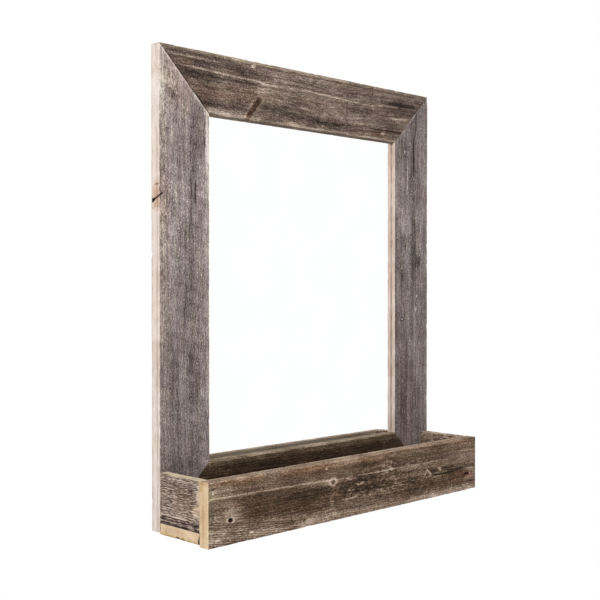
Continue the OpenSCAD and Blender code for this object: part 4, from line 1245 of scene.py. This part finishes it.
# Screws: each head is given as (radius, how far it lies below the head's top), and the radius of its flat
boxScrew = dict(
    wide=4, headHigh=2.5, neck=0, pitch=1.9, threadHigh=0.75, threadFrom=0.5, threaded=0.66, tip=5,
    head=[(3.95, 0.25), (4, 0.2), (3.92, 0.04)], flat=3.85, recess=crossRecess(4.8, 0.96, 1.5))
strapScrew = dict(
    wide=3.2, headHigh=1.9, neck=0.05, pitch=1.35, threadHigh=0.6, threadFrom=0.4, threaded=0.85, tip=3.5,
    head=[(3.25, 1.9), (3.3, 1.8), (3.3, 1.45), (3.168, 1.1), (2.904, 0.75), (2.508, 0.4), (2.046, 0.15),
          (1.65, 0.03)],
    flat=1.584, recess=crossRecess(3, 0.7, 0.9))
screwPlan = [
    ("box_screws", boxScrew, "yellow_zinc_finish", yellowZincLook, "yellow_zinc"),
    ("hanger_screws", strapScrew, "hanger_screw_finish", zincLook, "zinc_steel"),
]
for node, look, finishName, finish, slotName in screwPlan:
    heap = Heap()
    for low, high in shells(node):
        length = high[1] - low[1]
        start = length - look["headHigh"]
        tip = (low + high) / 2
        tip[1] = low[1]
        profile = screwProfile(look, start - look["neck"])
        profile += [(r, length - below) for r, below in look["head"]] + headRings(look["flat"], length)
        thread = {"pitch": look["pitch"], "high": look["threadHigh"], "from": look["threadFrom"],
                  "to": start * look["threaded"]}
        heap.add(*turned(profile, tip, headBack, 40, thread, look["recess"]))
    heap.piece(node + "_turned", metalFinish(finishName, finish), node, "mirror_frame", slotName)


# Nail profile: a drawn-out point, a plain shank and a flat head, from the tip up
def nailProfile(look, length):
    shank, head, under = look["wide"] / 2, look["head"] / 2, length - look["headHigh"]
    body = [(0, 0), (0.1, 0.05), (shank * 0.55, look["tip"] * 0.5), (shank, look["tip"]),
            (shank, under - 0.4), (shank + 0.1, under), (head - 0.12, under), (head, under + 0.12),
            (head, length - 0.15), (head - 0.08, length - 0.04)]
    return body + headRings(head - 0.2, length, 10)


brad = dict(wide=1.6, head=2.4, headHigh=1, tip=2.4, dent=dimpledHead(0.6, 0.06))
wireNail = dict(wide=2.5, head=5, headHigh=1.2, tip=4, dent=dimpledHead(0.8, 0.12))
nailPlan = [
    ("front_brads", brad, headFront, 1, darkSteelLook),
    ("front_wire_nail", wireNail, headFront, 1, nailLook),
    ("bottom_brads", brad, headDown, 2, darkSteelLook),
]
for node, look, ways, axis, finish in nailPlan:
    heap = Heap()
    for low, high in shells(node):
        tip = (low + high) / 2
        tip[axis] = high[axis]
        heap.add(*turned(nailProfile(look, high[axis] - low[axis]), tip, ways, 28, None, look["dent"]))
    heap.piece(node + "_turned", metalFinish(node + "_finish", finish), node, "mirror_frame", "bright_steel")

# Bumpers: low cones with a rounded rim and a hollow in the wall side, turned from the frame towards the wall
heap = Heap()
for low, high in shells("wall_bumpers"):
    tall, r = high[1] - low[1], (high[0] - low[0]) / 2
    profile = [(0, 0), (r * 0.5, 0), (r - 0.15, 0), (r, 0.2), (r - 0.05, 0.8), (r * 0.94, tall * 0.5),
               (r * 0.88, tall - 0.9), (r * 0.86, tall - 0.35), (r * 0.82, tall - 0.08), (r * 0.78, tall),
               (r * 0.36, tall), (r * 0.33, tall - 0.12), (r * 0.31, tall - 0.5), (r * 0.3, tall - 2.4),
               (r * 0.2, tall - 2.5), (0, tall - 2.5)]
    tip = (low + high) / 2
    tip[1] = low[1]
    heap.add(*turned(profile, tip, headBack, 48))
heap.piece("wall_bumpers_turned", rubberFinish(), "wall_bumpers", "mirror_frame", "bumper_rubber", 50)
print("screws, nails and bumpers ready")


# Arc of a wire's path: points at even angles round a centre, in degrees
def arc(centre, radius, first, last, count):
    a = np.radians(np.linspace(first, last, count, endpoint=False))
    return np.stack([centre[0] + radius * np.cos(a), centre[1] + radius * np.sin(a)], -1)


ring = dict(wire=3, bow=12, bend=3, clear=0.3, strip=1, barGap=0.08)
ringSteps = dict(around=20, bar=14, bend=10, bow=56)


# D-ring: round wire along a closed path of bar, bend, bow and bend, in a plane that leans towards the frame
# until the bow lies a small gap from it: sin(lean) = (bar height above the frame - wire radius - gap) / reach
def makeRing(node, body, centre):
    wireR, bow, bend, count = ring["wire"] / 2, ring["bow"], ring["bend"], ringSteps["around"]
    flat = bow - bend
    bar = np.linspace(-flat, flat, ringSteps["bar"], endpoint=False)
    path = np.concatenate([np.stack([bar, 0 * bar], -1),
                           arc((flat, bend), bend, -90, 0, ringSteps["bend"]),
                           arc((0, bend), bow, 0, 180, ringSteps["bow"]),
                           arc((-flat, bend), bend, 180, 270, ringSteps["bend"])])
    way = np.roll(path, -1, axis=0) - np.roll(path, 1, axis=0)
    way /= np.linalg.norm(way, axis=1)[:, None]
    around = np.linspace(0, 2 * math.pi, count, endpoint=False)
    out, depth = np.cos(around)[None, :] * wireR, np.sin(around)[None, :] * wireR
    x = path[:, :1] + way[:, 1:] * out
    z = path[:, 1:] - way[:, :1] * out
    y = np.broadcast_to(-depth, x.shape)
    barHigh = wireR + ring["barGap"] + ring["strip"]
    lean = math.asin((barHigh - wireR - ring["clear"]) / (bend + bow))
    points = np.stack([x, y * math.cos(lean) - z * math.sin(lean),
                       y * math.sin(lean) + z * math.cos(lean)], -1)
    numbers = np.arange(len(path) * count).reshape(len(path), count)
    numbers = np.concatenate([numbers, numbers[:1]], 0)
    numbers = np.concatenate([numbers, numbers[:, :1]], 1)
    heap = Heap()
    heap.add(centre + points.reshape(-1, 3), [gridQuads(numbers)])
    heap.piece(node + "_wire", metalFinish(node + "_finish", nickelLook), node, body, "ring_steel", 60)


for joint in frame["joints"]:
    makeRing("hanger_" + joint["child"], joint["child"], np.array(joint["pos_m"]) / mm)


# A stamped piece: the CAD's own shape with its loose triangles joined, its flats made whole and its edges
# eased
def stamped(node, bevel, finish):
    mesh = frame["nodes"][node].data.copy()
    joined = bmesh.new()
    joined.from_mesh(mesh)
    bmesh.ops.remove_doubles(joined, verts=joined.verts, dist=2e-6)
    bmesh.ops.dissolve_limit(joined, angle_limit=math.radians(1), verts=joined.verts, edges=joined.edges)
    joined.to_mesh(mesh)
    joined.free()
    if "custom_normal" in mesh.attributes:
        mesh.attributes.remove(mesh.attributes["custom_normal"])
    mesh.materials.clear()
    mesh.polygons.foreach_set("use_smooth", np.ones(len(mesh.polygons), bool))
    piece = newObject(node + "_stamped", mesh)
    ease = piece.modifiers.new("eased_edges", "BEVEL")
    ease.width, ease.segments, ease.limit_method = bevel * mm, 2, "ANGLE"
    ease.angle_limit = math.radians(35)
    ease.harden_normals = True
    dress(piece, finish, node, "mirror_frame")


loopHigh = 4.5  # the seam between a strap's two layers ends this far below its top, where the loop begins
for side in ("left", "right"):
    node = "hanger_strap_" + side
    low, high = (np.array(v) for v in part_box(node))
    seam = dict(zincLook, seamAt=low[1] + ring["strip"] * mm, seamUnder=high[2] - loopHigh * mm)
    stamped(node, 0.22, metalFinish(node + "_finish", seam))
stamped("glazing_points", 0.08, metalFinish("glazing_point_finish", dict(steelLook, rust=0)))
stamped("mitre_v_nails", 0.1, metalFinish("v_nail_finish", steelLook))
print("rings, straps and pins ready")

# The white room, in metres: its floor below the origin, where the floor fades into the white round it, and
# the strength of the light that comes from all round
studio = dict(floorDrop=2.2, floorHalf=60, fadeFrom=2.6, fadeTo=4.2, worldLevel=0.5)


# Floor: white paper that fades into pure white with its distance from the origin, for the rays that see it
def makeStage():
    n = Nodes("floor_finish")
    place = n.add("ShaderNodeNewGeometry").outputs["Position"]
    away = n.add("ShaderNodeVectorMath", dict(operation="LENGTH"), i0=place).outputs["Value"]
    paper = n.ramp(n.noise(place, 40, 2, 0.5), [(0, (236, 235, 233)), (1, (242, 241, 239))])
    diffuse = n.add("ShaderNodeBsdfDiffuse", Color=paper)
    white = n.add("ShaderNodeEmission", Color=(1, 1, 1, 1), Strength=1.0)
    fade = n.maths("MULTIPLY", n.range(away, studio["fadeFrom"], studio["fadeTo"]), n.seen())
    mix = n.add("ShaderNodeMixShader", i0=fade, i1=diffuse.outputs[0], i2=white.outputs[0])
    half, low = studio["floorHalf"] / mm, -studio["floorDrop"] / mm
    corners = np.array([(-half, -half, low), (half, -half, low), (half, half, low), (-half, half, low)])
    floor = newMesh("studio_floor", corners, [np.array([[0, 1, 2, 3]])], smooth=False)
    floor.data.materials.append(n.finish(mix))


# World: pure white where it is seen, and its own level of light where it only lights
def makeWorld():
    n = Nodes("studio_world", world=True)
    bpy.context.scene.world = n.owner
    level = n.scaledSum(n.seen(), 1 - studio["worldLevel"], studio["worldLevel"])
    n.finish(n.add("ShaderNodeBackground", Color=(1, 1, 1, 1), Strength=level))


# A round lamp at a place, turned so that it shines along the line to its target
def addLamp(name, place, target, size, energy):
    lamp = bpy.data.lights.new(name, "AREA")
    lamp.shape, lamp.size, lamp.energy = "DISK", size, energy
    holder = newObject(name, lamp)
    holder.location = place
    holder.visible_glossy = False  # the mirror shows the white room, not the lamp
    way = np.array(target, float) - np.array(place)
    holder.rotation_euler = (math.acos(-way[2] / np.linalg.norm(way)), 0, math.atan2(-way[0], way[1]))


# The camera stands where the photograph was taken from, in millimetres and degrees
view = dict(place=(-1148.3, -1167.4, -290.9), turn=-44.56, tilt=-0.79, lens=61.5, sensor=36)


# Camera: level at 90 degrees about its own x axis, tilted, then turned about the upright
def makeCamera():
    camera = bpy.data.cameras.new("camera")
    camera.lens, camera.sensor_width = view["lens"], view["sensor"]
    holder = newObject("camera", camera)
    holder.location = np.array(view["place"]) * mm
    holder.rotation_euler = (math.radians(90 + view["tilt"]), 0, math.radians(view["turn"]))
    bpy.context.scene.camera = holder


makeStage()
makeWorld()
addLamp("key_lamp", (-1.9, -1.9, 1.1), (0, -0.05, -0.3), 1.0, 78)
addLamp("fill_lamp", (1.6, -2.4, 0.6), (0, -0.05, -0.3), 1.8, 14)
addLamp("back_lamp", (1.2, 2.6, 0.9), (0, 0, -0.3), 1.6, 46)
makeCamera()
bpy.context.scene.view_settings.view_transform = "Standard"
print("stage, lamps and camera ready")
